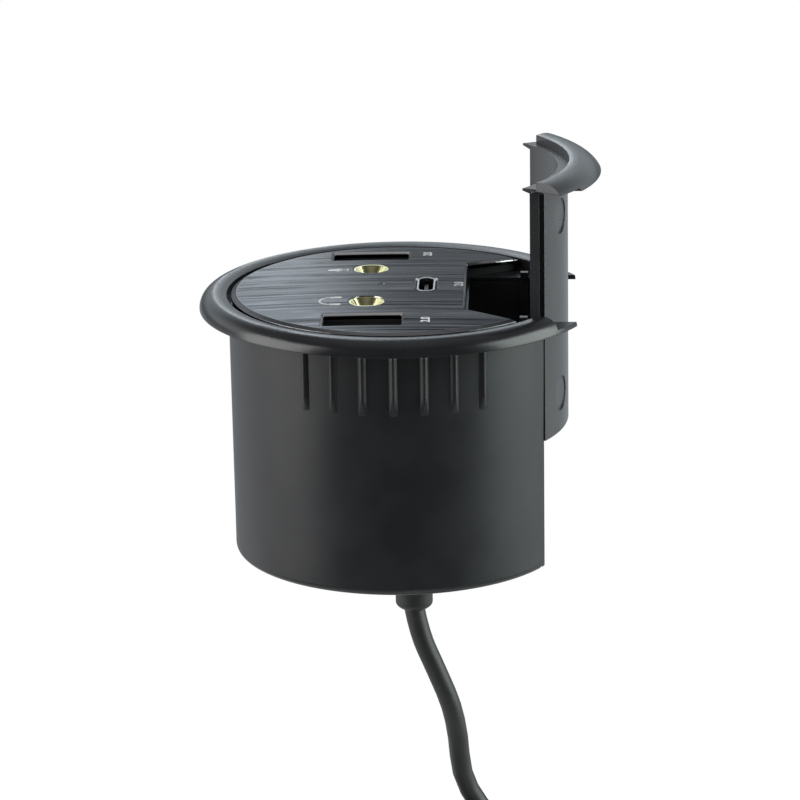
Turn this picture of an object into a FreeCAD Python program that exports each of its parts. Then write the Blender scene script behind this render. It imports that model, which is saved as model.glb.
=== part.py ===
"""In-desk USB hub for a 60 mm cable hole, with a raised cable gate. Sizes are in millimetres.

The origin is on the hub's axis in the plane of the desk top, where the flange rests.
+Z is up, +X points at the cable gate, and the two USB-A sockets lie either side of the XZ plane.
The gate is drawn closed, flush with the rim, and then lifted to the height that it rests at.
"""

import FreeCAD
import Part
import Sketcher
import math
import os

doc = FreeCAD.newDocument("InDeskHub")
sheet = doc.addObject("Spreadsheet::Sheet", "Sizes")


class Size:
    """A number, and the expression that works it out from the sheet."""

    def __init__(self, value, text=None):
        self.value = float(value)
        self.text = text or repr(float(value))

    def join(self, other, sign, value):
        return Size(value, f"({self.text} {sign} {other.text})")

    def __add__(self, other):
        other = size(other)
        return self.join(other, "+", self.value + other.value)

    def __sub__(self, other):
        other = size(other)
        return self.join(other, "-", self.value - other.value)

    def __mul__(self, other):
        other = size(other)
        return self.join(other, "*", self.value * other.value)

    def __truediv__(self, other):
        other = size(other)
        return self.join(other, "/", self.value / other.value)

    def __rsub__(self, other):
        return size(other) - self

    def __neg__(self):
        return 0 - self

    __radd__ = __add__
    __rmul__ = __mul__

    def __float__(self):
        return self.value


def size(number):
    return number if isinstance(number, Size) else Size(number)


def root(number):
    return Size(math.sqrt(number.value), f"sqrt({number.text})")


def cosine(angle):
    return Size(math.cos(math.radians(angle.value)), f"cos({angle.text})")


def sine(angle):
    return Size(math.sin(math.radians(angle.value)), f"sin({angle.text})")


# Driving dimensions: name, value, what it is
drivingSizes = [
    ("bodyRadius", "29.9", "outside of the body just under the flange"),
    ("bodyDraft", "0.3", "how much narrower the body is at its foot"),
    ("bodyDepth", "44.4", "desk top to the foot of the body"),
    ("footRound", "1.2", "round at the foot"),
    ("bodyWall", "2.0", "wall of the body at its foot"),
    ("flangeWidth", "5.1", "how far the flange stands out over the body"),
    ("flankRadius", "2.6", "radius of the rim's outer flank"),
    ("crestHeight", "2.7", "crest of the rim above the desk"),
    ("rimStep", "0.3", "inside of the rim outside the body"),
    ("rimInnerDrop", "0.3", "drop of the rim's top from its crest to its inside"),
    ("lipHeight", "0.8", "flange left under the ends of the gate's rim"),
    ("seatHeight", "0.4", "seat of the port carrier above the desk"),
    ("ribAngle", "10.2", "angle from one crush rib to the next"),
    ("ribWidth", "2.1", "width of a crush rib at its root"),
    ("ribHeight", "0.55", "how far a crush rib stands out"),
    ("ribLength", "11.8", "length of a crush rib, from the flange down"),
    ("ribSlope", "2.4", "length of the slope at its lower end"),
    ("channelDepth", "17.5", "outside of the body to the back wall of the cable channel"),
    ("channelInset", "14.4", "outside of the body to a side of the channel, across it"),
    ("channelWall", "1.6", "wall between the channel and the electronics"),
    ("plateGap", "0.8", "gap round the face plate"),
    ("plateThickness", "1.05", "thickness of the face plate"),
    ("plateHeight", "2.7", "edge of the face plate above the desk"),
    ("plateCrown", "0.9", "how much higher the plate's middle stands"),
    ("plateBevel", "0.9", "width of the bevel round the plate"),
    ("plateBevelDrop", "0.35", "drop of that bevel at the plate's edge"),
    ("plateChamfer", "0.4", "chamfer round the plate's slots and mouth"),
    ("mouthStep", "0.4", "how far the plate's mouth reaches past the channel's back wall"),
    ("mouthInset", "0.5", "channel's side to the corner of the mouth"),
    ("mouthFlare", "0.622", "widening of the mouth for each mm along X"),
    ("carrierStep", "0.2", "how much smaller the port carrier is than the plate"),
    ("carrierGap", "0.4", "step back of the carrier's mouth behind the plate's"),
    ("glueGap", "0.05", "glue between the plate and the carrier"),
    ("usbBack", "5.5", "place of the USB-A sockets behind the axis"),
    ("usbInset", "8.3", "edge of the face plate to the USB-A sockets' middle"),
    ("slotLength", "13.4", "length of a USB-A slot in the plate"),
    ("slotWidth", "6.2", "width of a USB-A slot in the plate"),
    ("usbInsideLength", "12.5", "inside length of a USB-A shell"),
    ("usbInsideWidth", "5.12", "inside width of a USB-A shell"),
    ("usbShellWall", "0.3", "wall of a USB-A shell"),
    ("usbShellRound", "0.6", "round along the corners of a USB-A shell"),
    ("usbMouthHeight", "0.9", "mouth of the USB-A shells above the desk"),
    ("usbTongueDepth", "2.7", "mouth of a USB-A shell to its tongue"),
    ("usbTongueLength", "11.1", "length of a USB-A tongue along the slot"),
    ("usbTongueThickness", "1.84", "thickness of a USB-A tongue"),
    ("usbTongueSide", "0.66", "inside of the shell to the tongue's back"),
    ("usbBaseHeight", "2.6", "moulded base inside a USB-A shell"),
    ("contactPitch", "2.5", "spacing of a USB-A socket's contacts"),
    ("contactWidth", "1.0", "width of a contact"),
    ("contactThickness", "0.15", "thickness of a contact"),
    ("jackBack", "5.1", "place of the audio jacks behind the axis"),
    ("jackY", "10.8", "place of the audio jacks either side"),
    ("jackBore", "1.8", "radius of a jack's bore"),
    ("jackRadius", "3.1", "outside of a jack's sleeve"),
    ("jackMouth", "2.75", "radius of a jack's mouth"),
    ("jackFunnel", "1.3", "depth of a jack's funnel"),
    ("jackLength", "13.6", "length of a jack's sleeve"),
    ("jackBlock", "8.6", "side of a jack's moulded block"),
    ("usbCX", "5.0", "place of the USB-C socket along X"),
    ("usbCLength", "8.94", "outside length of the USB-C shell"),
    ("usbCWidth", "3.16", "outside width of the USB-C shell"),
    ("usbCWall", "0.3", "wall of the USB-C shell"),
    ("usbCTongueLength", "6.2", "length of the USB-C tongue along the slot"),
    ("usbCTongue", "0.7", "thickness of the USB-C tongue"),
    ("usbCRecess", "0.9", "mouth of the USB-C shell to its tongue"),
    ("usbCDepth", "6.6", "mouth of the USB-C shell to its moulded base"),
    ("lampBack", "2.8", "place of the status lamp behind the axis"),
    ("lampRadius", "0.45", "radius of the status lamp's light pipe"),
    ("lampChip", "1.6", "side of the lamp's chip"),
    ("lampChipHeight", "0.7", "height of the lamp's chip"),
    ("portGap", "0.12", "gap round what passes through the plate"),
    ("flushStep", "0.1", "how far the ports sit under the plate's face"),
    ("boardDrop", "13.4", "desk top down to the top face of the board"),
    ("boardThickness", "1.6", "thickness of the board"),
    ("boardGap", "0.4", "gap round the board"),
    ("legInset", "9.7", "edge of the board to the carrier's two rear legs, along X"),
    ("legGap", "3.8", "channel's back wall to the carrier's two front legs"),
    ("legSide", "13.2", "edge of the board to the carrier's legs, either side"),
    ("legRadius", "2.1", "radius of a carrier leg"),
    ("coverThickness", "2.0", "thickness of the bottom cover"),
    ("coverInset", "0.3", "how far the bottom cover sits up inside the foot"),
    ("fitGap", "0.15", "gap between pieces that slip into each other"),
    ("bossRadius", "3.0", "radius of a cover boss"),
    ("bossInset", "2.6", "cavity's wall to the middle of a cover boss"),
    ("bossSpread", "62.0", "angle between the cover bosses"),
    ("bossHeight", "10.0", "height of a cover boss"),
    ("screwRadius", "1.1", "radius of the screws' shanks"),
    ("screwGap", "0.05", "gap round the screws' shanks"),
    ("screwHead", "2.0", "radius of the screws' heads"),
    ("screwHeadHeight", "1.2", "height of the screws' heads"),
    ("screwLength", "7.0", "length of the screws under the head"),
    ("gateLift", "23.5", "how far the gate is raised"),
    ("gateProud", "0.05", "how far the gate's face stands out over the body"),
    ("gateFootDrop", "0.15", "how far the closed gate reaches below the body's foot"),
    ("gateFootRound", "0.5", "round at the gate's foot"),
    ("gateInnerStep", "3.9", "how much smaller the gate's hollow inner face is than the body"),
    ("gateWall", "1.7", "thickness of the gate at its middle"),
    ("gateDepth", "6.6", "outside of the gate to its inner corners, along X"),
    ("gateGap", "0.15", "gap between the gate and the channel's sides"),
    ("gateFloorTop", "1.35", "top of the gate's floor above the desk when closed"),
    ("gateFloor", "0.8", "thickness of the gate's floor"),
    ("gateRimAngle", "36.0", "half the angle that the gate's rim covers"),
    ("rimEndGap", "0.4", "angle left open at each end of the gate's rim"),
    ("gateCrestStep", "1.9", "outside of the body to the crest of the gate's rim"),
    ("gateRimReach", "0.75", "how far the gate's rim passes the flange's edge"),
    ("gateRimUnder", "0.45", "desk top to the underside of the gate's rim when closed"),
    ("hornInset", "8.2", "outside of the body to the tips of the gate's floor, along X"),
    ("hornSlope", "0.55", "how much thinner those tips are than the floor"),
    ("hornReach", "1.1", "how far the tips of the gate's floor pass the channel's sides"),
    ("railInset", "4.8", "outside of the body to the inner face of the guide rails, along X"),
    ("railThickness", "0.5", "thickness of the guide rails"),
    ("railDepth", "1.0", "how far the guide rails stand into the channel"),
    ("railTop", "0.3", "desk top to the top of the guide rails"),
    ("guideGap", "0.4", "gap between the gate's inner corners and the guide posts"),
    ("guideThickness", "1.4", "thickness of the guide posts"),
    ("guideDepth", "1.2", "how far the guide posts stand into the channel"),
    ("guideHeight", "1.6", "top of the guide posts above the desk"),
    ("markRadius", "3.1", "radius of the round recesses in the gate's face"),
    ("markDepth", "0.3", "depth of those recesses"),
    ("markAngle", "16.8", "angle of the recesses either side of the gate's middle"),
    ("markUpper", "5.6", "desk top down to the upper recesses when closed"),
    ("markLower", "37.5", "desk top down to the lower recesses when closed"),
    ("reliefX", "2.1", "place of the cable's strain relief along X"),
    ("reliefRadius", "3.35", "outside of the strain relief"),
    ("reliefLength", "11.6", "foot of the body to the end of the relief's straight part"),
    ("reliefTaper", "0.8", "length of the relief's tapered end"),
    ("reliefCollar", "4.8", "radius of the relief's collar inside the cover"),
    ("collarThickness", "1.5", "thickness of that collar"),
    ("headerLength", "9.6", "length of the cable's plug-in header"),
    ("headerWidth", "5.8", "width of the header"),
    ("headerHeight", "6.0", "height of the header"),
    ("cableDiameter", "3.7", "diameter of the cable"),
    ("coilInner", "15.2", "radius of the coil's innermost turn"),
    ("coilPitch", "4.2", "spacing of the turns and of the layers"),
    ("coilStart", "45.0", "angle at which the cable meets the coil"),
    ("tieThickness", "1.0", "thickness of the coil's tie"),
    ("tieWidth", "8.0", "width of the coil's tie"),
    ("tieGap", "0.35", "gap between the tie and the turns"),
    ("tieRound", "2.6", "round of the tie's corners"),
    ("plugWidth", "15.6", "width of the plug's grip"),
    ("plugThickness", "8.0", "thickness of the plug's grip"),
    ("plugLength", "20.0", "length of the plug's grip"),
    ("plugRound", "2.2", "round along the corners of the grip"),
    ("plugNeck", "8.0", "length of the plug's neck"),
    ("plugNeckRadius", "3.3", "radius of the plug's neck where it meets the grip"),
    ("plugShellWidth", "12.0", "outside width of the plug's metal shell"),
    ("plugShellThickness", "4.5", "outside thickness of the plug's metal shell"),
    ("plugShellLength", "18.75", "length of the plug's metal shell"),
    ("plugInsert", "1.9", "thickness of the insert in the plug's shell"),
]

for row, (alias, number, note) in enumerate(drivingSizes, 1):
    sheet.set(f"A{row}", alias)
    sheet.set(f"B{row}", number)
    sheet.set(f"C{row}", note)
    sheet.setAlias(f"B{row}", alias)
doc.recompute()


class Named:
    """The driving dimensions, each as an attribute."""


s = Named()
for alias, number, note in drivingSizes:
    setattr(s, alias, Size(number, f"Sizes.{alias}"))

# Sizes worked out from the driving ones
s.footRadius = s.bodyRadius - s.bodyDraft
s.flangeRadius = s.bodyRadius + s.flangeWidth
s.crestRadius = s.flangeRadius - s.flankRadius
s.rimRadius = s.bodyRadius + s.rimStep
s.plateRadius = s.rimRadius - s.plateGap
s.carrierRadius = s.plateRadius - s.carrierStep
s.channelStart = s.bodyRadius - s.channelDepth
s.channelHalf = s.bodyRadius - s.channelInset
s.mouthStart = s.channelStart - s.mouthStep
s.mouthHalf = s.channelHalf - s.mouthInset
s.usbX = -s.usbBack
s.usbY = s.plateRadius - s.usbInset
s.jackX = -s.jackBack
s.lampX = -s.lampBack
s.boardTop = -s.boardDrop
s.gateInnerRadius = s.bodyRadius - s.gateInnerStep
s.gateInnerX = s.bodyRadius - s.gateWall
s.gateEdgeX = s.bodyRadius - s.gateDepth
s.gateRimRadius = s.rimRadius
s.hornX = s.bodyRadius - s.hornInset
s.hornY = s.channelHalf + s.hornReach
s.railX = s.bodyRadius - s.railInset
foot = -s.bodyDepth
above = s.gateLift  # clear of everything at the hub's head
below = foot - s.gateLift  # clear of the foot
outside = s.flangeRadius * 2  # clear of the flange
cavityRadius = s.footRadius - s.bodyWall
boardRadius = cavityRadius - s.boardGap
s.legBack = boardRadius - s.legInset
legY = boardRadius - s.legSide
bossPlace = cavityRadius - s.bossInset
channelBack = s.channelStart - s.channelWall
s.legFront = channelBack - s.legGap
channelOuter = s.channelHalf + s.channelWall
shankHole = s.screwRadius + s.screwGap
flankStart = s.crestHeight - s.flankRadius
rimRun = s.crestRadius - s.rimRadius
rimInnerRound = (rimRun * rimRun + s.rimInnerDrop * s.rimInnerDrop) / (2 * s.rimInnerDrop)
crownRadius = (s.plateRadius * s.plateRadius + s.plateCrown * s.plateCrown) / (2 * s.plateCrown)
boardUnder = s.boardTop - s.boardThickness
coverUnder = foot + s.coverInset
coverTop = coverUnder + s.coverThickness
gateHalf = s.channelHalf - s.gateGap
gateRadius = s.bodyRadius + s.gateProud
gateFoot = foot - s.gateFootDrop
gateCrest = s.bodyRadius + s.gateCrestStep
gateFlange = s.flangeRadius + s.gateRimReach
gateRun = gateFlange - gateCrest
gateRise = s.crestHeight - s.gateRimUnder
gateFlankRound = (gateRun * gateRun + gateRise * gateRise) / (2 * gateRise)
gateFloorUnder = s.gateFloorTop - s.gateFloor
gateRimStart = s.bodyRadius - s.bodyWall / 4
cableRadius = s.cableDiameter / 2
usbShellLength = s.usbInsideLength + 2 * s.usbShellWall
usbShellWidth = s.usbInsideWidth + 2 * s.usbShellWall
usbTonguePlace = s.usbInsideWidth / 2 - s.usbTongueSide - s.usbTongueThickness / 2
sides = (("front", -1), ("rear", 1))


def crownAt(x, y):
    """Height of the plate's face over the place (x, y)."""
    return s.plateHeight + s.plateCrown * (1 - (x * x + y * y) / (s.plateRadius * s.plateRadius))


def rimAt(radius, crest):
    """Height of a rim's inner slope at a radius, its crest being at another."""
    run = crest - radius
    return s.crestHeight - rimInnerRound + root(rimInnerRound * rimInnerRound - run * run)


def place(obj, x=0, y=0, z=0):
    obj.setExpression("Placement.Base.x", size(x).text)
    obj.setExpression("Placement.Base.y", size(y).text)
    obj.setExpression("Placement.Base.z", size(z).text)
    return obj


def box(name, x0, x1, y0, y1, z0, z1):
    solid = doc.addObject("Part::Box", name)
    for side, low, high in (("Length", x0, x1), ("Width", y0, y1), ("Height", z0, z1)):
        solid.setExpression(side, (size(high) - low).text)
    return place(solid, x0, y0, z0)


def block(name, x, y, length, width, z0, z1):
    """A box with its middle at (x, y)."""
    x, y, length, width = size(x), size(y), size(length), size(width)
    return box(name, x - length / 2, x + length / 2, y - width / 2, y + width / 2, z0, z1)


def cylinder(name, radius, z0, z1, x=0, y=0):
    solid = doc.addObject("Part::Cylinder", name)
    solid.setExpression("Radius", size(radius).text)
    solid.setExpression("Height", (size(z1) - z0).text)
    return place(solid, x, y, z0)


def cone(name, radius0, radius1, z0, z1, x=0, y=0):
    solid = doc.addObject("Part::Cone", name)
    solid.setExpression("Radius1", size(radius0).text)
    solid.setExpression("Radius2", size(radius1).text)
    solid.setExpression("Height", (size(z1) - z0).text)
    return place(solid, x, y, z0)


def crown(name, drop):
    """The crowned plate's sphere, lowered by drop. Its poles point along Y, clear of the plate."""
    solid = doc.addObject("Part::Sphere", name)
    solid.setExpression("Radius", crownRadius.text)
    solid.Placement.Rotation = FreeCAD.Rotation(FreeCAD.Vector(1, 0, 0), 90)
    return place(solid, 0, 0, s.plateHeight + s.plateCrown - crownRadius - drop)


def cut(name, base, *tools):
    result = doc.addObject("Part::Cut", name)
    result.Base = base
    result.Tool = tools[0] if len(tools) == 1 else fuse(name + "Tools", *tools)
    return result


def fuse(name, *pieces):
    result = doc.addObject("Part::MultiFuse", name)
    result.Shapes = list(pieces)
    return result


def common(name, *pieces):
    result = doc.addObject("Part::MultiCommon", name)
    result.Shapes = list(pieces)
    return result


def bundle(name, *pieces):
    """Like solids that stay apart, kept as one sub-part."""
    result = doc.addObject("Part::Compound", name)
    result.Links = list(pieces)
    return result


def stadium(name, length, width, z0, z1, x, y):
    """An upright prism with round ends, its length along Y."""
    half = (length - width) / 2
    middle = box(name + "Middle", x - width / 2, x + width / 2, y - half, y + half, z0, z1)
    ends = [cylinder(f"{name}End{i}", width / 2, z0, z1, x, y + way * half) for i, way in enumerate((1, -1))]
    return fuse(name, middle, *ends)


def arc(start, end, radius):
    """Arc from start to end that bends left, or right where the radius is negative."""
    chord = end - start
    away = math.copysign(math.sqrt(radius**2 - (chord.Length / 2) ** 2), radius)
    centre = (start + end) / 2 + FreeCAD.Vector(-chord.y, chord.x, 0).normalize() * away
    first, last = (start, end) if radius > 0 else (end, start)
    angles = [math.atan2(p.y - centre.y, p.x - centre.x) for p in (first, last)]
    return Part.ArcOfCircle(Part.Circle(centre, FreeCAD.Vector(0, 0, 1), abs(radius)), *angles)


def bind(sketch, constraint, value):
    index = sketch.addConstraint(constraint)
    sketch.setExpression(f"Constraints[{index}]", value.text)


def outline(body, name, role, corners):
    """A closed sketch. A corner is (across, up), or (across, up, radius) where an arc starts."""
    sketch = body.newObject("Sketcher::SketchObject", name)
    plane = next(f for f in body.Origin.OriginFeatures if f.Role == role)
    sketch.AttachmentSupport = [(plane, "")]
    sketch.MapMode = "FlatFace"
    points = [FreeCAD.Vector(float(c[0]), float(c[1]), 0) for c in corners]
    radii = [c[2] if len(c) == 3 else None for c in corners]
    starts = [2 if r and float(r) < 0 else 1 for r in radii]  # which end of the edge its corner is
    for i, radius in enumerate(radii):
        ends = points[i], points[(i + 1) % len(points)]
        sketch.addGeometry(arc(*ends, float(radius)) if radius else Part.LineSegment(*ends))
    for i, corner in enumerate(corners):
        j = (i + 1) % len(corners)
        sketch.addConstraint(Sketcher.Constraint("Coincident", i, 3 - starts[i], j, starts[j]))
        for kind, value in zip(("DistanceX", "DistanceY"), corner):
            value = size(value)
            bind(sketch, Sketcher.Constraint(kind, -1, 1, i, starts[i], value.value), value)
        if radii[i]:
            radius = radii[i] if float(radii[i]) > 0 else -radii[i]
            bind(sketch, Sketcher.Constraint("Radius", i, radius.value), radius)
    return sketch


def turned(name, corners, angle=None):
    """A profile in the XZ plane, turned round Z, or through an angle with its middle on +X."""
    body = doc.addObject("PartDesign::Body", name)
    sketch = outline(body, name + "Profile", "XZ_Plane", corners)
    turn = body.newObject("PartDesign::Revolution", name + "Turn")
    turn.Profile = sketch
    turn.ReferenceAxis = (sketch, ["V_Axis"])
    turn.Angle = 360
    if angle:
        turn.Midplane = True
        turn.setExpression("Angle", angle.text)
    return body


def padded(name, corners, z0, z1):
    """A profile in the XY plane, from z0 up to z1."""
    body = doc.addObject("PartDesign::Body", name)
    sketch = outline(body, name + "Profile", "XY_Plane", corners)
    sketch.setExpression("AttachmentOffset.Base.z", size(z0).text)
    pad = body.newObject("PartDesign::Pad", name + "Pad")
    pad.Profile = sketch
    pad.setExpression("Length", (size(z1) - z0).text)
    return body


def rounded(name, x, y, length, width, bend, z0, z1):
    """A block with round corners, its middle at (x, y)."""
    x, y = size(x), size(y)
    x0, x1, y0, y1 = x - length / 2, x + length / 2, y - width / 2, y + width / 2
    corners = [
        (x0 + bend, y0),
        (x1 - bend, y0, bend),
        (x1, y0 + bend),
        (x1, y1 - bend, bend),
        (x1 - bend, y1),
        (x0 + bend, y1, bend),
        (x0, y1 - bend),
        (x0, y0 + bend, bend),
    ]
    return padded(name, corners, z0, z1)


def mouth(name, gap, z0, z1):
    """The cable mouth: straight towards the ports and flaring out past the edge."""
    start = s.mouthStart - gap
    half = s.mouthHalf + gap
    wide = half + s.mouthFlare * (s.flangeRadius - start)
    corners = [(start, -half), (s.flangeRadius, -wide), (s.flangeRadius, wide), (start, half)]
    return padded(name, corners, z0, z1)


def bodyOutside():
    """Points up the outside of the body, from its foot to the desk top."""
    return [
        (s.footRadius - s.footRound, foot, s.footRound),
        (s.footRadius, foot + s.footRound),
        (s.bodyRadius, 0),
    ]


def bodyBlank(name):
    """The body's outside as a full solid, used to trim what ends flush with it."""
    corners = [(0, foot)] + bodyOutside() + [(s.bodyRadius, s.gateFloorTop), (0, s.gateFloorTop)]
    return turned(name, corners)


def housingShell():
    """The body's tube with its flange and rim, and the seat inside the rim."""
    corners = [(cavityRadius, foot)] + bodyOutside() + [
        (s.flangeRadius, 0),
        (s.flangeRadius, flankStart, s.flankRadius),
        (s.crestRadius, s.crestHeight, rimInnerRound),
        (s.rimRadius, rimAt(s.rimRadius, s.crestRadius)),
        (s.rimRadius, s.seatHeight),
        (cavityRadius, s.seatHeight),
    ]
    return turned("HousingShell", corners)


def channelWalls():
    """Three walls round the cable channel, with a shelf either side under the plate's mouth."""
    top = s.seatHeight
    pieces = [box("ChannelBack", channelBack, s.channelStart, -channelOuter, channelOuter, foot, top)]
    for name, way in sides:
        y0, y1 = (s.channelHalf, channelOuter) if way > 0 else (-channelOuter, -s.channelHalf)
        pieces.append(box(f"ChannelSide{name}", channelBack, outside, y0, y1, foot, top))
        y0, y1 = (s.channelHalf, outside) if way > 0 else (-outside, -s.channelHalf)
        pieces.append(box(f"Shelf{name}", channelBack, outside, y0, y1, top - s.channelWall, top))
    inside = cylinder("CavityBlank", cavityRadius + s.bodyWall / 2, foot, top)
    return common("ChannelWalls", fuse("ChannelBlank", *pieces), inside)


def guides():
    """A thin rail and a stouter post on each side of the channel."""
    pieces = []
    postEnd = s.gateEdgeX - s.guideGap
    for name, way in sides:
        for kind, x0, x1, depth, top in (
            ("Rail", s.railX, s.railX + s.railThickness, s.railDepth, -s.railTop),
            ("Post", postEnd - s.guideThickness, postEnd, s.guideDepth, s.guideHeight),
        ):
            near = s.channelHalf - depth
            y0, y1 = (near, s.channelHalf) if way > 0 else (-s.channelHalf, -near)
            pieces.append(box(f"{kind}{name}", x0, x1, y0, y1, foot, top))
    tops = cylinder("GuideTops", cavityRadius, 0, s.guideHeight)  # room for the posts over the seat
    return common("Guides", fuse("GuideBars", *pieces), fuse("GuideRoom", bodyBlank("GuideTrim"), tops))


def crushRibs():
    """Seven ribs on each side that grip the desk's hole, each a ridge with a sloping lower end."""
    ribs = []
    rootRadius = s.bodyRadius - s.bodyWall / 2
    for name, way in sides:
        for i in range(-3, 4):
            rib = doc.addObject("Part::Wedge", f"Rib{name}{i + 4}")
            angle = way * 90 + i * s.ribAngle
            for fixed in ("Ymin", "Zmin", "X2min", "X2max"):
                setattr(rib, fixed, 0)
            rib.setExpression("Xmin", (-s.ribWidth / 2).text)
            rib.setExpression("Xmax", (s.ribWidth / 2).text)
            rib.setExpression("Ymax", (s.bodyRadius + s.ribHeight - rootRadius).text)
            rib.setExpression("Zmax", s.ribLength.text)
            rib.setExpression("Z2min", s.ribSlope.text)
            rib.setExpression("Z2max", s.ribLength.text)
            rib.Placement.Rotation = FreeCAD.Rotation(FreeCAD.Vector(0, 0, 1), angle.value - 90)
            x, y = rootRadius * cosine(angle), rootRadius * sine(angle)
            ribs.append(place(rib, x, y, -s.ribLength))
    return ribs


def bossPlaces():
    """Where the cover's three bosses stand, round the side away from the channel."""
    for i in (-1, 0, 1):
        angle = 180 + i * s.bossSpread
        yield bossPlace * cosine(angle), bossPlace * sine(angle)


def housing():
    """The moulded body, cut open for the channel and for the gate's share of the rim."""
    near = s.rimRadius - s.fitGap
    corners = [(near, s.lipHeight), (outside, s.lipHeight), (outside, above), (near, above)]
    rimCut = turned("GateRimRoom", corners, 2 * (s.gateRimAngle + s.rimEndGap))
    channel = box("Channel", s.channelStart, outside, -s.channelHalf, s.channelHalf, below, above)
    bosses = []
    holes = []
    bossTop = coverTop + s.bossHeight
    for i, (x, y) in enumerate(bossPlaces()):
        bosses.append(cylinder(f"Boss{i}", s.bossRadius, coverTop, bossTop, x, y))
        holes.append(cylinder(f"BossHole{i}", shankHole, coverTop, bossTop - s.screwRadius, x, y))
    bossTrim = common("Bosses", fuse("BossBlank", *bosses), bodyBlank("BossTrim"))
    solid = fuse("HousingSolid", housingShell(), channelWalls(), bossTrim, *crushRibs())
    return fuse("Housing", cut("HousingCarved", solid, channel, rimCut, *holes), guides())


def portHoles(name, gap, z0, z1, usbLength, usbWidth):
    """Cutters for every port, through a piece that lies between z0 and z1."""
    usbCSize = (s.usbCLength + 2 * gap, s.usbCWidth + 2 * gap)
    cutters = [stadium(name + "UsbC", *usbCSize, z0, z1, s.usbCX, size(0))]
    cutters.append(cylinder(name + "Lamp", s.lampRadius + gap, z0, z1, s.lampX))
    for side, way in sides:
        cutters.append(block(f"{name}Usb{side}", s.usbX, way * s.usbY, usbLength, usbWidth, z0, z1))
        cutters.append(cylinder(f"{name}Jack{side}", s.jackRadius + gap, z0, z1, s.jackX, way * s.jackY))
    return cutters


def chamfered(name, plate):
    """The plate with a chamfer on the straight edges of its crowned face: the slots and the mouth."""
    doc.recompute()
    crowned = [f for f in plate.Shape.Faces if isinstance(f.Surface, Part.Sphere)]
    top = max(crowned, key=lambda f: f.CenterOfMass.z)
    width = s.plateChamfer.value
    chosen = []
    for number, edge in enumerate(plate.Shape.Edges, 1):
        ends = [edge.valueAt(p) for p in edge.ParameterRange]
        middle = edge.valueAt(sum(edge.ParameterRange) / 2)
        chord = (ends[0] + ends[1]) / 2
        straight = FreeCAD.Vector(middle.x - chord.x, middle.y - chord.y, 0).Length < s.glueGap.value
        if straight and ends[0].distanceToPoint(ends[1]) > width and any(edge.isSame(e) for e in top.Edges):
            chosen.append((number, width, width))
    result = doc.addObject("Part::Chamfer", name)
    result.Base = plate
    result.Edges = chosen
    return result


def facePlate():
    """A crowned disc with a bevelled edge, the cable mouth and the ports' cut-outs."""
    edge = s.plateHeight - s.plateBevelDrop
    slope = (crownAt(s.plateRadius - s.plateBevel, 0) - edge) / s.plateBevel
    corners = [(0, 0), (s.plateRadius, 0), (s.plateRadius, edge), (0, edge + slope * s.plateRadius)]
    disc = common("PlateDisc", turned("PlateBlank", corners), crown("PlateTop", 0))
    cutters = portHoles("Plate", s.portGap, 0, above, s.slotLength, s.slotWidth)
    cutters += [mouth("PlateMouth", 0, 0, above), crown("PlateUnder", s.plateThickness)]
    return chamfered("FacePlate", cut("PlateSharp", disc, *cutters))


def legPlaces():
    """Where the carrier's legs stand, with a name for each."""
    for name, way in sides:
        yield f"Back{name}", -s.legBack, way * legY
        yield f"Front{name}", s.legFront, way * legY


def portCarrier():
    """The disc under the plate that the ports come up through, on four legs that carry the board."""
    blank = cylinder("CarrierBlank", s.carrierRadius, s.seatHeight, above)
    top = crown("CarrierTop", s.plateThickness + s.glueGap)
    length, width = usbShellLength + 2 * s.portGap, usbShellWidth + 2 * s.portGap
    cutters = portHoles("Carrier", s.portGap, below, above, length, width)
    cutters.append(mouth("CarrierMouth", s.carrierGap, 0, above))
    disc = cut("CarrierDisc", common("CarrierRound", blank, top), *cutters)
    legs = []
    holes = []
    holeTop = boardUnder + s.screwLength + s.screwGap
    for name, x, y in legPlaces():
        legs.append(cylinder(f"Leg{name}", s.legRadius, s.boardTop, s.seatHeight, x, y))
        holes.append(cylinder(f"LegHole{name}", shankHole, s.boardTop, holeTop, x, y))
    return cut("PortCarrier", fuse("CarrierSolid", disc, *legs), *holes)


def screws(name, places, seat):
    """Screws that are driven upwards, their heads under the seat."""
    pieces = []
    for i, (x, y) in enumerate(places):
        head = cylinder(f"{name}Head{i}", s.screwHead, seat - s.screwHeadHeight, seat, x, y)
        shank = cylinder(f"{name}Shank{i}", s.screwRadius, seat, seat + s.screwLength, x, y)
        pieces.append(fuse(f"{name}{i}", head, shank))
    return bundle(name, *pieces)


def mainBoard():
    """A round board with a straight side along the cable channel."""
    blank = cylinder("BoardBlank", boardRadius, boardUnder, s.boardTop)
    channel = box("BoardEdge", channelBack - s.fitGap, outside, -outside, outside, below, above)
    holes = [cylinder(f"BoardHole{n}", shankHole, boardUnder, s.boardTop, x, y) for n, x, y in legPlaces()]
    return cut("MainBoard", blank, channel, *holes)


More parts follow.
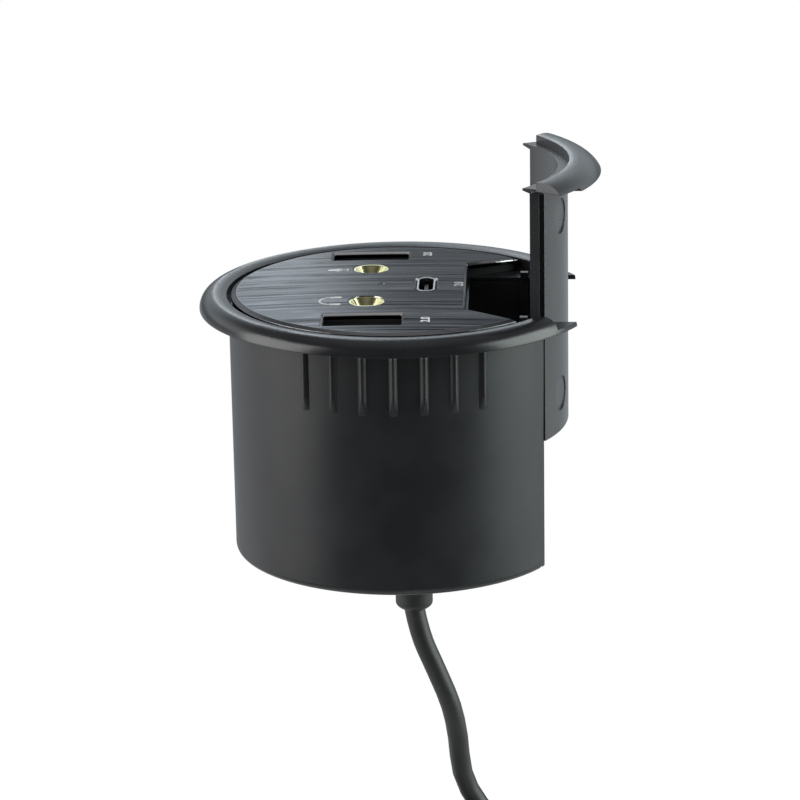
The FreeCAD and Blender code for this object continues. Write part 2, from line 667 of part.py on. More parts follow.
def usbSocket(side, way):
    """A USB-A socket: its folded metal shell, the tongue on its moulded base, and four contacts."""
    x, y = s.usbX, way * s.usbY
    top = s.usbMouthHeight
    base = s.boardTop + s.usbBaseHeight
    inside = (s.usbInsideLength, s.usbInsideWidth, s.usbShellRound - s.usbShellWall)
    outside = (usbShellLength, usbShellWidth, s.usbShellRound)
    outer = rounded(f"{side}ShellOuter", x, y, *outside, s.boardTop, top)
    shell = cut(f"{side}Shell", outer, rounded(f"{side}ShellRoom", x, y, *inside, s.boardTop, above))
    tongueY = y + way * usbTonguePlace
    tongueTop = top - s.usbTongueDepth
    blade = block(f"{side}Blade", x, tongueY, s.usbTongueLength, s.usbTongueThickness, base, tongueTop)
    tongue = fuse(f"{side}Tongue", blade, rounded(f"{side}Base", x, y, *inside, s.boardTop, base))
    contactY = tongueY - way * (s.usbTongueThickness + s.contactThickness) / 2
    contactTop = tongueTop - s.contactWidth
    contacts = []
    for i in range(4):
        across = x + (i - 1.5) * s.contactPitch
        strip = (across, contactY, s.contactWidth, s.contactThickness)
        contacts.append(block(f"{side}Contact{i}", *strip, base, contactTop))
    return shell, tongue, bundle(f"{side}Contacts", *contacts)


def usbCSocket():
    """The USB-C socket: a drawn shell with round ends and a thin double-sided tongue."""
    x, y = s.usbCX, size(0)
    top = crownAt(x, y) - s.flushStep
    inside = (s.usbCLength - 2 * s.usbCWall, s.usbCWidth - 2 * s.usbCWall)
    outer = stadium("UsbCOuter", s.usbCLength, s.usbCWidth, s.boardTop, top, x, y)
    shell = cut("UsbCShell", outer, stadium("UsbCRoom", *inside, s.boardTop, above, x, y))
    base = stadium("UsbCBase", *inside, s.boardTop, top - s.usbCDepth, x, y)
    blade = block("UsbCBlade", x, y, s.usbCTongue, s.usbCTongueLength, s.boardTop, top - s.usbCRecess)
    return shell, fuse("UsbCTongue", base, blade)


def jack(side, way):
    """An audio jack: its gilt sleeve with a funnel mouth, and the moulded block round it."""
    x, y = s.jackX, way * s.jackY
    top = crownAt(x, y) - s.flushStep
    bottom = top - s.jackLength
    sleeve = cylinder(f"{side}Sleeve", s.jackRadius, bottom, top, x, y)
    bore = cylinder(f"{side}Bore", s.jackBore, bottom, top, x, y)
    funnel = cone(f"{side}Funnel", s.jackBore, s.jackMouth, top - s.jackFunnel, top, x, y)
    blockTop = s.seatHeight - s.fitGap
    moulding = block(f"{side}Moulding", x, y, s.jackBlock, s.jackBlock, s.boardTop, blockTop)
    room = cylinder(f"{side}MouldingRoom", s.jackRadius + s.screwGap, bottom, above, x, y)
    return cut(f"{side}JackSleeve", sleeve, bore, funnel), cut(f"{side}JackBody", moulding, room)


def bottomCover():
    """The inset disc that closes the foot all round the cable channel."""
    blank = cylinder("CoverBlank", cavityRadius - s.fitGap, coverUnder, coverTop)
    half = channelOuter + s.fitGap
    channel = box("CoverEdge", channelBack - s.fitGap, outside, -half, half, below, above)
    cutters = [cylinder("CoverRelief", s.reliefRadius + s.screwGap, coverUnder, coverTop, s.reliefX)]
    seat = coverUnder + s.screwHeadHeight
    for i, (x, y) in enumerate(bossPlaces()):
        cutters.append(cylinder(f"CoverSink{i}", s.screwHead + s.fitGap, below, seat, x, y))
        cutters.append(cylinder(f"CoverHole{i}", shankHole, coverUnder, coverTop, x, y))
    return cut("BottomCover", blank, channel, *cutters)


def strainRelief():
    """A collar held inside the cover, the straight sleeve under it and a short taper."""
    end = foot - s.reliefLength
    collar = cylinder("ReliefCollar", s.reliefCollar, coverTop, coverTop + s.collarThickness, s.reliefX)
    sleeve = cylinder("ReliefSleeve", s.reliefRadius, end, coverTop, s.reliefX)
    tip = cone("ReliefTip", cableRadius, s.reliefRadius, end - s.reliefTaper, end, s.reliefX)
    return fuse("StrainRelief", collar, sleeve, tip)


def innerCable():
    """The cable's last stretch, from the strain relief up to its header under the board."""
    top = boardUnder - s.headerHeight
    cable = cylinder("InnerCable", cableRadius, coverTop + s.collarThickness, top, s.reliefX)
    return cable, block("Header", s.reliefX, 0, s.headerLength, s.headerWidth, top, boardUnder)


def gateRim():
    """The gate's share of the rim, which closes the gap that the housing leaves."""
    corners = [
        (gateRimStart, s.gateRimUnder),
        (gateFlange, s.gateRimUnder, gateFlankRound),
        (gateCrest, s.crestHeight, rimInnerRound),
        (s.gateRimRadius, rimAt(s.gateRimRadius, gateCrest)),
        (s.gateRimRadius, s.gateFloorTop),
        (gateRimStart, s.gateFloorTop),
    ]
    return turned("GateRim", corners, 2 * s.gateRimAngle)


def gateFloor():
    """The crescent that a finger lifts, from horn to horn, each horn thinner towards its tip."""
    rootX, rootY = (s.gateRimRadius * f(s.gateRimAngle) for f in (cosine, sine))
    rimX, rimY = (gateCrest * f(s.gateRimAngle) for f in (cosine, sine))
    half = [(s.hornX, s.hornY), (rootX, rootY), (rimX, rimY), (gateFlange, rimY)]
    corners = [(x, -y) for x, y in half] + half[::-1]
    crescent = padded("GateCrescent", corners, gateFloorUnder, s.gateFloorTop)
    floor = common("FloorCrescent", crescent, cylinder("FloorRound", gateCrest, below, above))
    slope = doc.addObject("Part::Wedge", "HornSlope")
    run = s.gateEdgeX - s.hornX
    for end in ("Xmin", "X2min", "X2max"):
        slope.setExpression(end, (s.hornX - s.hornSlope).text)
    slope.setExpression("Xmax", s.gateEdgeX.text)
    slope.Ymin = 0
    slope.setExpression("Ymax", (s.hornSlope + s.hornSlope * s.hornSlope / run).text)
    for low, high in (("Zmin", "Zmax"), ("Z2min", "Z2max")):
        slope.setExpression(low, (-outside).text)
        slope.setExpression(high, outside.text)
    slope.Placement.Rotation = FreeCAD.Rotation(FreeCAD.Vector(1, 0, 0), 90)
    return cut("GateFloor", floor, place(slope, 0, 0, gateFloorUnder))


def gateCutters():
    """The hollow inner face, room for the flange's lip, the rails' grooves and the round recesses."""
    hollow = cylinder("GateHollow", s.gateInnerRadius, below, above, s.gateInnerX - s.gateInnerRadius)
    lipTop = s.lipHeight + s.gateGap
    lipOuter = cylinder("LipOuter", outside, below, lipTop)
    lipInner = cylinder("LipInner", gateRimStart - s.gateGap, below, lipTop)
    lipMiddle = box("LipMiddle", 0, outside, -gateHalf, gateHalf, below, lipTop)
    cutters = [hollow, cut("LipRoom", lipOuter, lipInner, lipMiddle)]
    near = s.channelHalf - s.railDepth - s.gateGap
    x0, x1 = s.railX - s.gateGap, s.railX + s.railThickness + s.gateGap
    for name, way in sides:
        y0, y1 = (near, outside) if way > 0 else (-outside, -near)
        cutters.append(box(f"Groove{name}", x0, x1, y0, y1, below, s.gateGap - s.railTop))
        angle = way * s.markAngle
        aim = FreeCAD.Vector(cosine(angle).value, sine(angle).value, 0)
        for kind, drop in (("Upper", s.markUpper), ("Lower", s.markLower)):
            out = gateRadius - s.markDepth
            mark = cylinder(f"Mark{kind}{name}", s.markRadius, 0, s.bodyWall)
            mark.Placement.Rotation = FreeCAD.Rotation(FreeCAD.Vector(0, 0, 1), aim)
            cutters.append(place(mark, out * cosine(angle), out * sine(angle), -drop))
    return cutters


def cableGate():
    """The gate: a curved wall that slides in the channel, its floor and its share of the rim."""
    corners = [
        (0, gateFoot),
        (gateRadius - s.gateFootRound, gateFoot, s.gateFootRound),
        (gateRadius, gateFoot + s.gateFootRound),
        (gateRadius, s.gateFloorTop),
        (0, s.gateFloorTop),
    ]
    slab = box("GateSlab", s.gateEdgeX, outside, -gateHalf, gateHalf, gateFoot, s.gateFloorTop)
    wall = common("GateWall", turned("GateBlank", corners), slab)
    solid = cut("Gate", fuse("GateSolid", wall, gateRim(), gateFloor()), *gateCutters())
    return place(solid, 0, 0, s.gateLift)


# The cable's free stretch, from the strain relief to the coil, as chosen points
cableRoute = [
    (2.1, 0.0, -56.8),
    (3.0, 0.0, -62.0),
    (5.7, 0.1, -68.3),
    (9.6, 0.9, -78.5),
    (10.2, 6.3, -95.0),
    (22.5, 6.3, -107.3),
]
layerHalfTurns = 5  # half turns in each layer, without the climbs between layers
layerCount = 4
arcShare = 0.45  # share of the shorter run that an arc takes


def routePath(points):
    """Straight runs joined by the largest arcs that the runs allow, and the arcs' radii."""
    points = [FreeCAD.Vector(*p) for p in points]
    edges = []
    radii = []
    at = points[0]
    for before, corner, after in zip(points, points[1:], points[2:]):
        back, ahead = (before - corner).normalize(), (after - corner).normalize()
        reach = arcShare * min(before.distanceToPoint(corner), corner.distanceToPoint(after))
        turn = math.pi - back.getAngle(ahead)
        radius = reach / math.tan(turn / 2)
        start, end = corner + back * reach, corner + ahead * reach
        middle = corner + (back + ahead).normalize() * (radius / math.cos(turn / 2) - radius)
        edges.append(Part.LineSegment(at, start).toShape())
        edges.append(Part.Arc(start, middle, end).toShape())
        radii.append(round(radius, 1))
        at = end
    edges.append(Part.LineSegment(at, points[-1]).toShape())
    return edges, radii


def biarc(start, startWay, end, endWay):
    """Two arcs that leave start along startWay and arrive at end along endWay."""
    gap = end - start
    both = startWay + endWay
    spread = 2 * (1 - startWay.dot(endWay))
    pull = (math.sqrt(gap.dot(both) ** 2 + spread * gap.dot(gap)) - gap.dot(both)) / spread
    joint = (start + end + (startWay - endWay) * pull) / 2
    edges = []
    for a, b, corner in ((start, joint, start + startWay * pull), (joint, end, end - endWay * pull)):
        middle = (a + b) / 2
        rise = (b - a).Length / 2 * math.tan((b - a).getAngle(corner - a) / 2)
        edges.append(Part.Arc(a, middle + (corner - middle).normalize() * rise, b).toShape())
    return edges


class CoilPath:
    """A path that turns clockwise as seen from the front, made of tangent arcs."""

    def __init__(self, start, angle):
        self.angle = angle  # where on its turn the path is, from +X towards +Z
        self.at = start
        self.edges = []

    def out(self):
        bearing = math.radians(self.angle)
        return FreeCAD.Vector(math.cos(bearing), 0, math.sin(bearing))

    def way(self, slope=0.0):
        bearing = math.radians(self.angle)
        return FreeCAD.Vector(math.sin(bearing), slope, -math.cos(bearing)).normalize()

    def straight(self, length):
        end = self.at + self.way() * length
        self.edges.append(Part.LineSegment(self.at, end).toShape())
        self.at = end

    def turn(self, radius, degrees, forwards=0.0):
        """So many degrees at one radius, moving forwards by so much on the way."""
        middle = self.at - self.out() * radius
        steepest = -1.5 * forwards / (radius * math.radians(degrees))
        for slope0, slope1 in ((0.0, steepest), (steepest, 0.0)):
            start, startWay = self.at, self.way(slope0)
            self.angle -= degrees / 2
            middle = middle - FreeCAD.Vector(0, forwards / 2, 0)
            self.at = middle + self.out() * radius
            self.edges += biarc(start, startWay, self.at, self.way(slope1))


def coilPath():
    """The coil: layers that spiral in and out by turns, each climb in a half turn, then the plug's end."""
    inner = s.coilInner.value
    step = s.coilPitch.value / 2
    path = CoilPath(FreeCAD.Vector(*cableRoute[-1]), s.coilStart.value)
    path.straight(s.cableDiameter.value)
    for layer in range(layerCount):
        inward = layer % 2 == 0
        last = layer == layerCount - 1
        steps = range(layerHalfTurns, 0, -1) if inward else range(1, layerHalfTurns + 1 - last)
        for i in steps:
            path.turn(inner + i * step, 180)
        if not last:
            path.turn(inner if inward else inner + (layerHalfTurns + 1) * step, 180, s.coilPitch.value)
    clear = (s.cableDiameter + s.plugThickness) / 2 + s.tieGap
    path.turn(inner + layerHalfTurns * step, path.angle % 360, clear.value)
    path.straight(s.cableDiameter.value)
    return path


def tube(name, edges):
    """A round tube swept along edges that run on from each other."""
    wire = Part.Wire(edges)
    start = edges[0].valueAt(edges[0].FirstParameter)
    way = edges[0].tangentAt(edges[0].FirstParameter)
    ring = Part.Wire([Part.makeCircle(cableRadius.value, start, way)])
    piece = doc.addObject("Part::Feature", name)
    piece.Shape = wire.makePipeShell([ring], True, False)
    share = piece.Shape.Volume / (math.pi * cableRadius.value**2 * wire.Length)
    print(f"{name}: {wire.Length:.1f} mm long, volume {share:.4f} of section times length")
    return piece


def leastGap(edges):
    """Least gap between a tube's surface and itself, past the stretch that runs on."""
    spacing = 1.0
    points = Part.Wire(edges).discretize(Distance=spacing)
    skip = int(2 * s.cableDiameter.value / spacing)
    nearest = min(a.distanceToPoint(b) for i, a in enumerate(points) for b in points[i + skip :])
    return nearest - s.cableDiameter.value


def coilTie():
    """A strap round all the turns, at the side of the coil away from the plug."""
    step = s.coilPitch / 2
    entryX, entryY, entryZ = cableRoute[-1]
    reach = s.coilInner + (layerHalfTurns + 1) * step
    aimX, aimZ = cosine(s.coilStart), sine(s.coilStart)
    middleX = entryX + s.cableDiameter * aimZ - reach * aimX
    middleY = entryY - s.coilPitch * (layerCount - 1) / 2
    middleZ = entryZ - s.cableDiameter * aimX - reach * aimZ
    outer = reach + cableRadius + s.tieGap
    inner = s.coilInner - cableRadius - s.tieGap
    sag = inner - root(inner * inner - s.tieWidth * s.tieWidth / 4)
    length = outer - inner + sag
    width = s.coilPitch * (layerCount - 1) + s.cableDiameter + 2 * s.tieGap
    x = middleX - outer + length / 2
    z0, z1 = middleZ - s.tieWidth / 2, middleZ + s.tieWidth / 2
    wall = 2 * s.tieThickness
    strap = rounded("TieOuter", x, middleY, length + wall, width + wall, s.tieRound, z0, z1)
    room = rounded("TieRoom", x, middleY, length, width, s.tieRound - s.tieThickness, z0, z1)
    return cut("CoilTie", strap, room)


def cablePlug(end):
    """The plug on the cable's far end, hanging tip down: grip, metal shell and insert."""
    x, y, z = size(end.x), size(end.y), size(end.z)
    neckEnd = z - s.plugNeck
    gripEnd = neckEnd - s.plugLength
    tip = gripEnd - s.plugShellLength
    neck = cone("PlugNeck", s.plugNeckRadius, cableRadius, neckEnd, z, x, y)
    grip = rounded("PlugGrip", x, y, s.plugWidth, s.plugThickness, s.plugRound, gripEnd, neckEnd)
    wall = 2 * s.usbShellWall
    outerSize = (s.plugShellWidth, s.plugShellThickness, s.usbShellRound)
    innerSize = (s.plugShellWidth - wall, s.plugShellThickness - wall, s.usbShellRound - s.usbShellWall)
    outer = rounded("PlugShellOuter", x, y, *outerSize, tip, gripEnd)
    room = rounded("PlugShellRoom", x, y, *innerSize, tip, gripEnd)
    insertY = y + (innerSize[1] - s.plugInsert) / 2 - s.screwGap
    insert = block("PlugInsert", x, insertY, innerSize[0] - wall, s.plugInsert, tip + s.usbShellWall, gripEnd)
    return fuse("PlugOvermould", neck, grip), cut("PlugShell", outer, room), insert


# Parts soldered under the board: node, place along X and Y, length, width and height
boardParts = [
    ("hub_chip", -8, 0, 7, 7, 1),
    ("audio_chip", -7, 12, 5, 5, 0.9),
    ("crystal", -16.5, 3, 3.2, 5, 0.9),
]

# Parts along the board's front edge: place along X and from that edge, length, width and height
regulator = (-8, 15.2, 6.5, 3.5, 1.8)

# Four capacitors in a row there: length, width and height, then each one's place along X and from the edge
capacitorSize = (1.6, 3.2, 1.5)
capacitorPlaces = [(-16, 8.2), (-12, 9.2), (-8, 10.2), (-4, 11.2)]


def boardPart(name, x, y, length, width, height):
    return block(name, x, y, length, width, boardUnder - height, boardUnder)


# The sub-parts, by node name
nodes = {
    "housing": housing(),
    "face_plate": facePlate(),
    "port_carrier": portCarrier(),
    "main_board": mainBoard(),
    "bottom_cover": bottomCover(),
    "strain_relief": strainRelief(),
    "cable_gate": cableGate(),
}
for side, way in sides:
    shell, tongue, contacts = usbSocket(side, way)
    nodes[f"{side}_usb_a_shell"] = shell
    nodes[f"{side}_usb_a_tongue"] = tongue
    nodes[f"{side}_usb_a_contacts"] = contacts
for side, way, kind in (("front", -1, "headphone"), ("rear", 1, "microphone")):
    nodes[f"{kind}_jack_sleeve"], nodes[f"{kind}_jack_body"] = jack(side, way)
nodes["usb_c_shell"], nodes["usb_c_tongue"] = usbCSocket()
nodes["inner_cable"], nodes["cable_header"] = innerCable()
lampTop = s.boardTop + s.lampChipHeight
lampFace = crownAt(s.lampX, size(0)) - s.flushStep
nodes["status_led"] = block("StatusLed", s.lampX, 0, s.lampChip, s.lampChip, s.boardTop, lampTop)
nodes["light_pipe"] = cylinder("LightPipe", s.lampRadius, lampTop, lampFace, s.lampX)
for name, x, y, *sizes in boardParts:
    nodes[name] = boardPart(f"Board_{name}", x, y, *sizes)
regulatorX, regulatorInset, *regulatorSize = regulator
regulatorY = regulatorInset - boardRadius
nodes["regulator"] = boardPart("Board_regulator", regulatorX, regulatorY, *regulatorSize)
capacitors = []
for i, (x, inset) in enumerate(capacitorPlaces):
    capacitors.append(boardPart(f"Capacitor{i}", x, inset - boardRadius, *capacitorSize))
nodes["capacitors"] = bundle("Capacitors", *capacitors)
nodes["board_screws"] = screws("BoardScrew", [(x, y) for n, x, y in legPlaces()], boardUnder)
nodes["cover_screws"] = screws("CoverScrew", bossPlaces(), coverUnder + s.screwHeadHeight)

routeEdges, routeRadii = routePath(cableRoute)
print("radii of the cable's free stretch:", routeRadii)
nodes["cable"] = tube("Cable", routeEdges)
coil = coilPath()
nodes["cable_coil"] = tube("CableCoil", coil.edges)
print(f"least gap of the coil to itself: {leastGap(coil.edges):.2f} mm")
nodes["coil_tie"] = coilTie()
nodes["plug_overmould"], nodes["plug_shell"], nodes["plug_insert"] = cablePlug(coil.at)

doc.recompute()
for name, piece in nodes.items():
    piece.Label = name

for obj in doc.Objects:
    if "Invalid" in obj.State or "Error" in obj.State:
        raise RuntimeError(f"{obj.Name} failed: {obj.State}")
for name, piece in nodes.items():
    if piece.Shape.isNull() or not piece.Shape.isValid():
        raise RuntimeError(f"{name} has no valid shape")
    if len(piece.Shape.Solids) == 0 or piece.Shape.Volume <= 0:
        raise RuntimeError(f"{name} has no volume")

os.makedirs("parts", exist_ok=True)
for name, piece in nodes.items():
    piece.Shape.exportStep(f"parts/{name}.step")
    print(f"{name}: {len(piece.Shape.Solids)} solids, {piece.Shape.Volume:.1f} mm3")
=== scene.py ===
import bmesh
import bpy
import math
import numpy as np
from mathutils import Matrix, Vector


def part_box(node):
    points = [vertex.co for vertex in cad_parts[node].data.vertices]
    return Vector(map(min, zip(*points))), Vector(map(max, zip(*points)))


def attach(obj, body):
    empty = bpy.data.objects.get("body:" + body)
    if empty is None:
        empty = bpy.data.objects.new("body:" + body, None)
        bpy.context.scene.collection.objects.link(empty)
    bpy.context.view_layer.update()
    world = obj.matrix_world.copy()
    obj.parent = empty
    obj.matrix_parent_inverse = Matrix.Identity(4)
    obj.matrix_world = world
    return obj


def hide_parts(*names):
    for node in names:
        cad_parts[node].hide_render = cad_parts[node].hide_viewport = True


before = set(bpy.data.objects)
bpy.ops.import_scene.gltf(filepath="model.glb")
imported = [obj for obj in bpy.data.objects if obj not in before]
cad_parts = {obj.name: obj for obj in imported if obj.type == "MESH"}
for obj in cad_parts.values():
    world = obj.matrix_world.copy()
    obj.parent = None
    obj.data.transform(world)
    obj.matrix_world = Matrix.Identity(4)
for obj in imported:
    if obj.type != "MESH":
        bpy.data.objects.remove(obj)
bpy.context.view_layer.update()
scene = bpy.context.scene
scene.view_settings.view_transform = "Standard"
mm = 0.001
print("frame loaded,", len(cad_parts), "nodes")

camera = {
    "place": (25.51, -710.3, 196.52),  # mm, in the frame of the desk hole
    "aim": (0.07, 0.0, -17.82),
    "roll": -0.86,  # degrees
    "lens": 188.2,
    "sensor": 36,
    "clip": (0.05, 20),  # m
}


def placeCamera():
    # The view runs from place to aim, and right and up turn round it by the roll
    forward = (Vector(camera["aim"]) - Vector(camera["place"])).normalized()
    right = forward.cross(Vector((0, 0, 1))).normalized()
    up = right.cross(forward)
    roll = math.radians(camera["roll"])
    across = right * math.cos(roll) + up * math.sin(roll)
    upright = up * math.cos(roll) - right * math.sin(roll)
    turn = Matrix((across, upright, -forward)).transposed().to_4x4()
    data = bpy.data.cameras.new("viewCamera")
    data.lens = camera["lens"]
    data.sensor_width = camera["sensor"]
    data.clip_start, data.clip_end = camera["clip"]
    obj = bpy.data.objects.new("viewCamera", data)
    obj.matrix_world = Matrix.Translation(Vector(camera["place"]) * mm) @ turn
    scene.collection.objects.link(obj)
    scene.camera = obj


placeCamera()
print("camera placed")


class Signal:
    # A node's output, with the operators that shader maths needs

    def __init__(self, finish, link):
        self.finish = finish
        self.link = link

    def maths(self, operation, *values):
        sockets = {i: value for i, value in enumerate(values)}
        return self.finish.node("ShaderNodeMath", {"operation": operation}, sockets)

    def __add__(self, other):
        return self.maths("ADD", self, other)

    def __sub__(self, other):
        return self.maths("SUBTRACT", self, other)

    def __rsub__(self, other):
        return self.maths("SUBTRACT", other, self)

    def __mul__(self, other):
        return self.maths("MULTIPLY", self, other)

    def __truediv__(self, other):
        return self.maths("DIVIDE", self, other)

    __radd__ = __add__
    __rmul__ = __mul__

    def root(self):
        return self.maths("SQRT", self)

    def size(self):
        return self.maths("ABSOLUTE", self)

    def fraction(self):
        return self.maths("FRACT", self)

    def sine(self):
        return self.maths("SINE", self)

    def most(self, other):
        return self.maths("MAXIMUM", self, other)

    def between(self, low, high, start=0.0, end=1.0):
        # Runs smoothly from start to end while the signal runs from low to high
        settings = {"interpolation_type": "SMOOTHSTEP"}
        sockets = {"Value": self, "From Min": low, "From Max": high, "To Min": start, "To Max": end}
        return self.finish.node("ShaderNodeMapRange", settings, sockets)


class Finish:
    # One node tree: a material's, or the world's

    def __init__(self, owner):
        owner.use_nodes = True
        self.tree = owner.node_tree
        self.owner = owner

    def node(self, kind, settings=None, sockets=None, output=0):
        # Any node: its settings come first, then the values or links of its sockets
        node = self.tree.nodes.new(kind)
        for key, value in (settings or {}).items():
            setattr(node, key, value)
        for key, value in (sockets or {}).items():
            self.feed(node.inputs[key], value)
        return Signal(self, node.outputs[output])

    def feed(self, socket, value):
        # A socket takes a link or a value of its own, and a colour gets its fourth number
        if isinstance(value, Signal):
            self.tree.links.new(value.link, socket)
        elif hasattr(value, "__len__") and len(value) == 3 and socket.type == "RGBA":
            socket.default_value = (*value, 1.0)
        else:
            socket.default_value = value

    def shade(self, **sockets):
        # Sockets of the main shader, with _ for the spaces in their names
        shader = self.tree.nodes["Principled BSDF"]
        for key, value in sockets.items():
            self.feed(shader.inputs[key.replace("_", " ")], value)

    def place(self, scale=(1, 1, 1)):
        # Object coordinates in millimetres, stretched by the scale
        at = self.node("ShaderNodeTexCoord", output="Object")
        factor = tuple(k / mm for k in scale)
        return self.node("ShaderNodeMapping", sockets={"Vector": at, "Scale": factor})

    def noise(self, scale, detail=2.0, roughness=0.5, stretch=(1, 1, 1)):
        sockets = {"Vector": self.place(stretch), "Scale": scale, "Detail": detail, "Roughness": roughness}
        return self.node("ShaderNodeTexNoise", sockets=sockets)

    def split(self, vector):
        sockets = {"Vector": vector}
        return [self.node("ShaderNodeSeparateXYZ", sockets=sockets, output=axis) for axis in "XYZ"]

    def axes(self):
        return self.split(self.place())

    def blend(self, factor, first, second):
        # Sockets 6 and 7 and output 2 are the node's colour ones
        settings = {"data_type": "RGBA"}
        return self.node("ShaderNodeMix", settings, {0: factor, 6: first, 7: second}, output=2)

    def relief(self, height, depth, edge=None):
        # Bump of the given depth in mm, over edges that are rounded by a radius in mm
        sockets = {"Height": height, "Distance": depth * mm, "Strength": 1.0}
        if edge:
            sockets["Normal"] = self.node("ShaderNodeBevel", {"samples": 4}, {"Radius": edge * mm})
        return self.node("ShaderNodeBump", sockets=sockets)


def newFinish(name):
    return Finish(bpy.data.materials.new(name))


moulding = {
    "clouding": (0.35, 0.65),  # levels of the cloud between which the colour runs from dark to light
    "cloudGloss": 0.08,  # how much the cloud changes the roughness
    "grainGloss": 0.1,  # and how much the grain does
    "polish": (-0.6, -0.2),  # mm above the desk between which the polish sets in
}
plastics = {
    # grain and cloud: patches for each mm; depth and edge in mm; polished: roughness above the desk
    "satinBlack": {"grain": 5.0, "cloud": 0.12, "depth": 0.008, "edge": 0.18, "roughness": 0.38, "ior": 1.45,
                   "polished": 0.25, "dark": (0.009, 0.0095, 0.011), "light": (0.012, 0.0125, 0.014)},
    "gateBlack": {"grain": 5.0, "cloud": 0.12, "depth": 0.004, "edge": 0.2, "roughness": 0.26, "ior": 1.47,
                  "dark": (0.022, 0.0235, 0.025), "light": (0.027, 0.0285, 0.0305)},
    # the port carrier: black plastic, darker than the housing's as painted shade inside the cable channel
    "innerBlackPaintedShade": {"grain": 4.0, "cloud": 0.2, "depth": 0.01, "edge": 0.1, "roughness": 0.7, "ior": 1.4,
                   "dark": (0.003, 0.003, 0.0035), "light": (0.006, 0.006, 0.0065)},
    "tongueBlack": {"grain": 6.0, "cloud": 0.4, "depth": 0.004, "edge": 0.08, "roughness": 0.45, "ior": 1.5,
                    "dark": (0.008, 0.008, 0.009), "light": (0.014, 0.014, 0.015)},
    "blackRubber": {"grain": 3.5, "cloud": 0.15, "depth": 0.01, "edge": 0.2, "roughness": 0.5, "ior": 1.5,
                    "dark": (0.007, 0.007, 0.008), "light": (0.011, 0.011, 0.012)},
    "lampWhite": {"grain": 4.0, "cloud": 0.5, "depth": 0.004, "edge": 0.1, "roughness": 0.4, "ior": 1.5,
                  "dark": (0.72, 0.72, 0.68), "light": (0.8, 0.8, 0.77)},
    "chipBlack": {"grain": 8.0, "cloud": 0.6, "depth": 0.006, "edge": 0.1, "roughness": 0.5, "ior": 1.5,
                  "dark": (0.018, 0.018, 0.02), "light": (0.026, 0.026, 0.028)},
    "capacitorTan": {"grain": 8.0, "cloud": 0.8, "depth": 0.004, "edge": 0.1, "roughness": 0.45, "ior": 1.55,
                     "dark": (0.36, 0.25, 0.15), "light": (0.46, 0.33, 0.21)},
}


def mouldedFinish(name, look):
    # Moulded plastic: a fine even grain, faint clouding, rounded edges, and polish above the desk
    finish = newFinish(name)
    grain = finish.noise(look["grain"], detail=3.0, roughness=0.6)
    cloud = finish.noise(look["cloud"])
    colour = finish.blend(cloud.between(*moulding["clouding"]), look["dark"], look["light"])
    gloss = look["roughness"] + (cloud - 0.5) * moulding["cloudGloss"]
    gloss = gloss + (grain - 0.5) * moulding["grainGloss"]
    if "polished" in look:
        aboveDesk = finish.axes()[2].between(*moulding["polish"])
        gloss = gloss - aboveDesk * (look["roughness"] - look["polished"])
    finish.shade(
        Base_Color=colour,
        Roughness=gloss,
        Normal=finish.relief(grain, look["depth"], look["edge"]),
        IOR=look["ior"],
    )
    return finish.owner


plate = {
    "crown": (2.7, 0.9, 29.4),  # height of the edge, rise to the middle, radius
    "lines": (0.012, 1.1, 0.1),  # brushed lines for each mm along X, Y and Z
    "patches": (0.11, 0.5, 0.1),  # and the patches in which they show more
    "patchLevels": (0.35, 0.65),
    "lineShare": (0.35, 1.5),  # how much the lines show in the faintest and in the strongest patch
    "streakLevels": (0.34, 0.66),  # between which the metal runs from dark to light
    "dark": (0.012, 0.0125, 0.014),
    "light": (0.15, 0.153, 0.162),
    "glancing": (0.5, 0.5, 0.5),  # the lacquer takes some of the gloss at low angles
    "bevelStart": (28.3, 28.45),  # mm from the middle
    # the rim's bevel: lighter than the metal, a painted highlight
    "bevel": (0.2, 0.2, 0.21),
    "chamferStart": (0.025, 0.05),  # mm below the crowned face
    # the chamfers: far lighter than the metal, a painted highlight on the cut edges
    "chamfer": (0.6, 0.6, 0.61),
    # depths below the crowned face over which the colour falls to the darkest metal: painted shade on the
    # walls
    "chamferEnd": (0.42, 0.55),
    "roughness": 0.2,
    "lineGloss": 0.2,  # how much the lines change the roughness
    "chamferGloss": 0.08,  # how much smoother the chamfers are
    "relief": 0.06,
    "edge": 0.25,
}


def brushedFinish():
    # Brushing along X, stronger in some patches; the rim's bevel and the chamfers just under the crowned
    # face are lighter as a painted highlight, and the walls deeper down are darker as painted shade
    finish = newFinish("brushedPlate")
    lines = finish.noise(1.0, detail=3.0, roughness=0.75, stretch=plate["lines"])
    patches = finish.noise(1.0, stretch=plate["patches"])
    streaks = 0.5 + (lines - 0.5) * patches.between(*plate["patchLevels"], *plate["lineShare"])
    x, y, z = finish.axes()
    edge, rise, radius = plate["crown"]
    away = (x * x + y * y).root()
    below = edge + rise * (1 - (x * x + y * y) / radius**2) - z
    rimHighlight = away.between(*plate["bevelStart"])
    chamfer = below.between(*plate["chamferStart"]) * (1 - rimHighlight)
    metal = finish.blend(streaks.between(*plate["streakLevels"]), plate["dark"], plate["light"])
    # Painted highlight: the chamfers and the rim's bevel are lighter than the brushed metal
    colour = finish.blend(rimHighlight, finish.blend(chamfer, metal, plate["chamfer"]), plate["bevel"])
    finish.shade(
        # Painted shade: deeper than the chamfers, the colour is the darkest metal
        Base_Color=finish.blend(below.between(*plate["chamferEnd"]), colour, plate["dark"]),
        Metallic=1.0,
        Roughness=plate["roughness"] + (lines - 0.5) * plate["lineGloss"] - chamfer * plate["chamferGloss"],
        Normal=finish.relief(streaks, plate["relief"], plate["edge"]),
        Specular_Tint=plate["glancing"],
    )
    return finish.owner


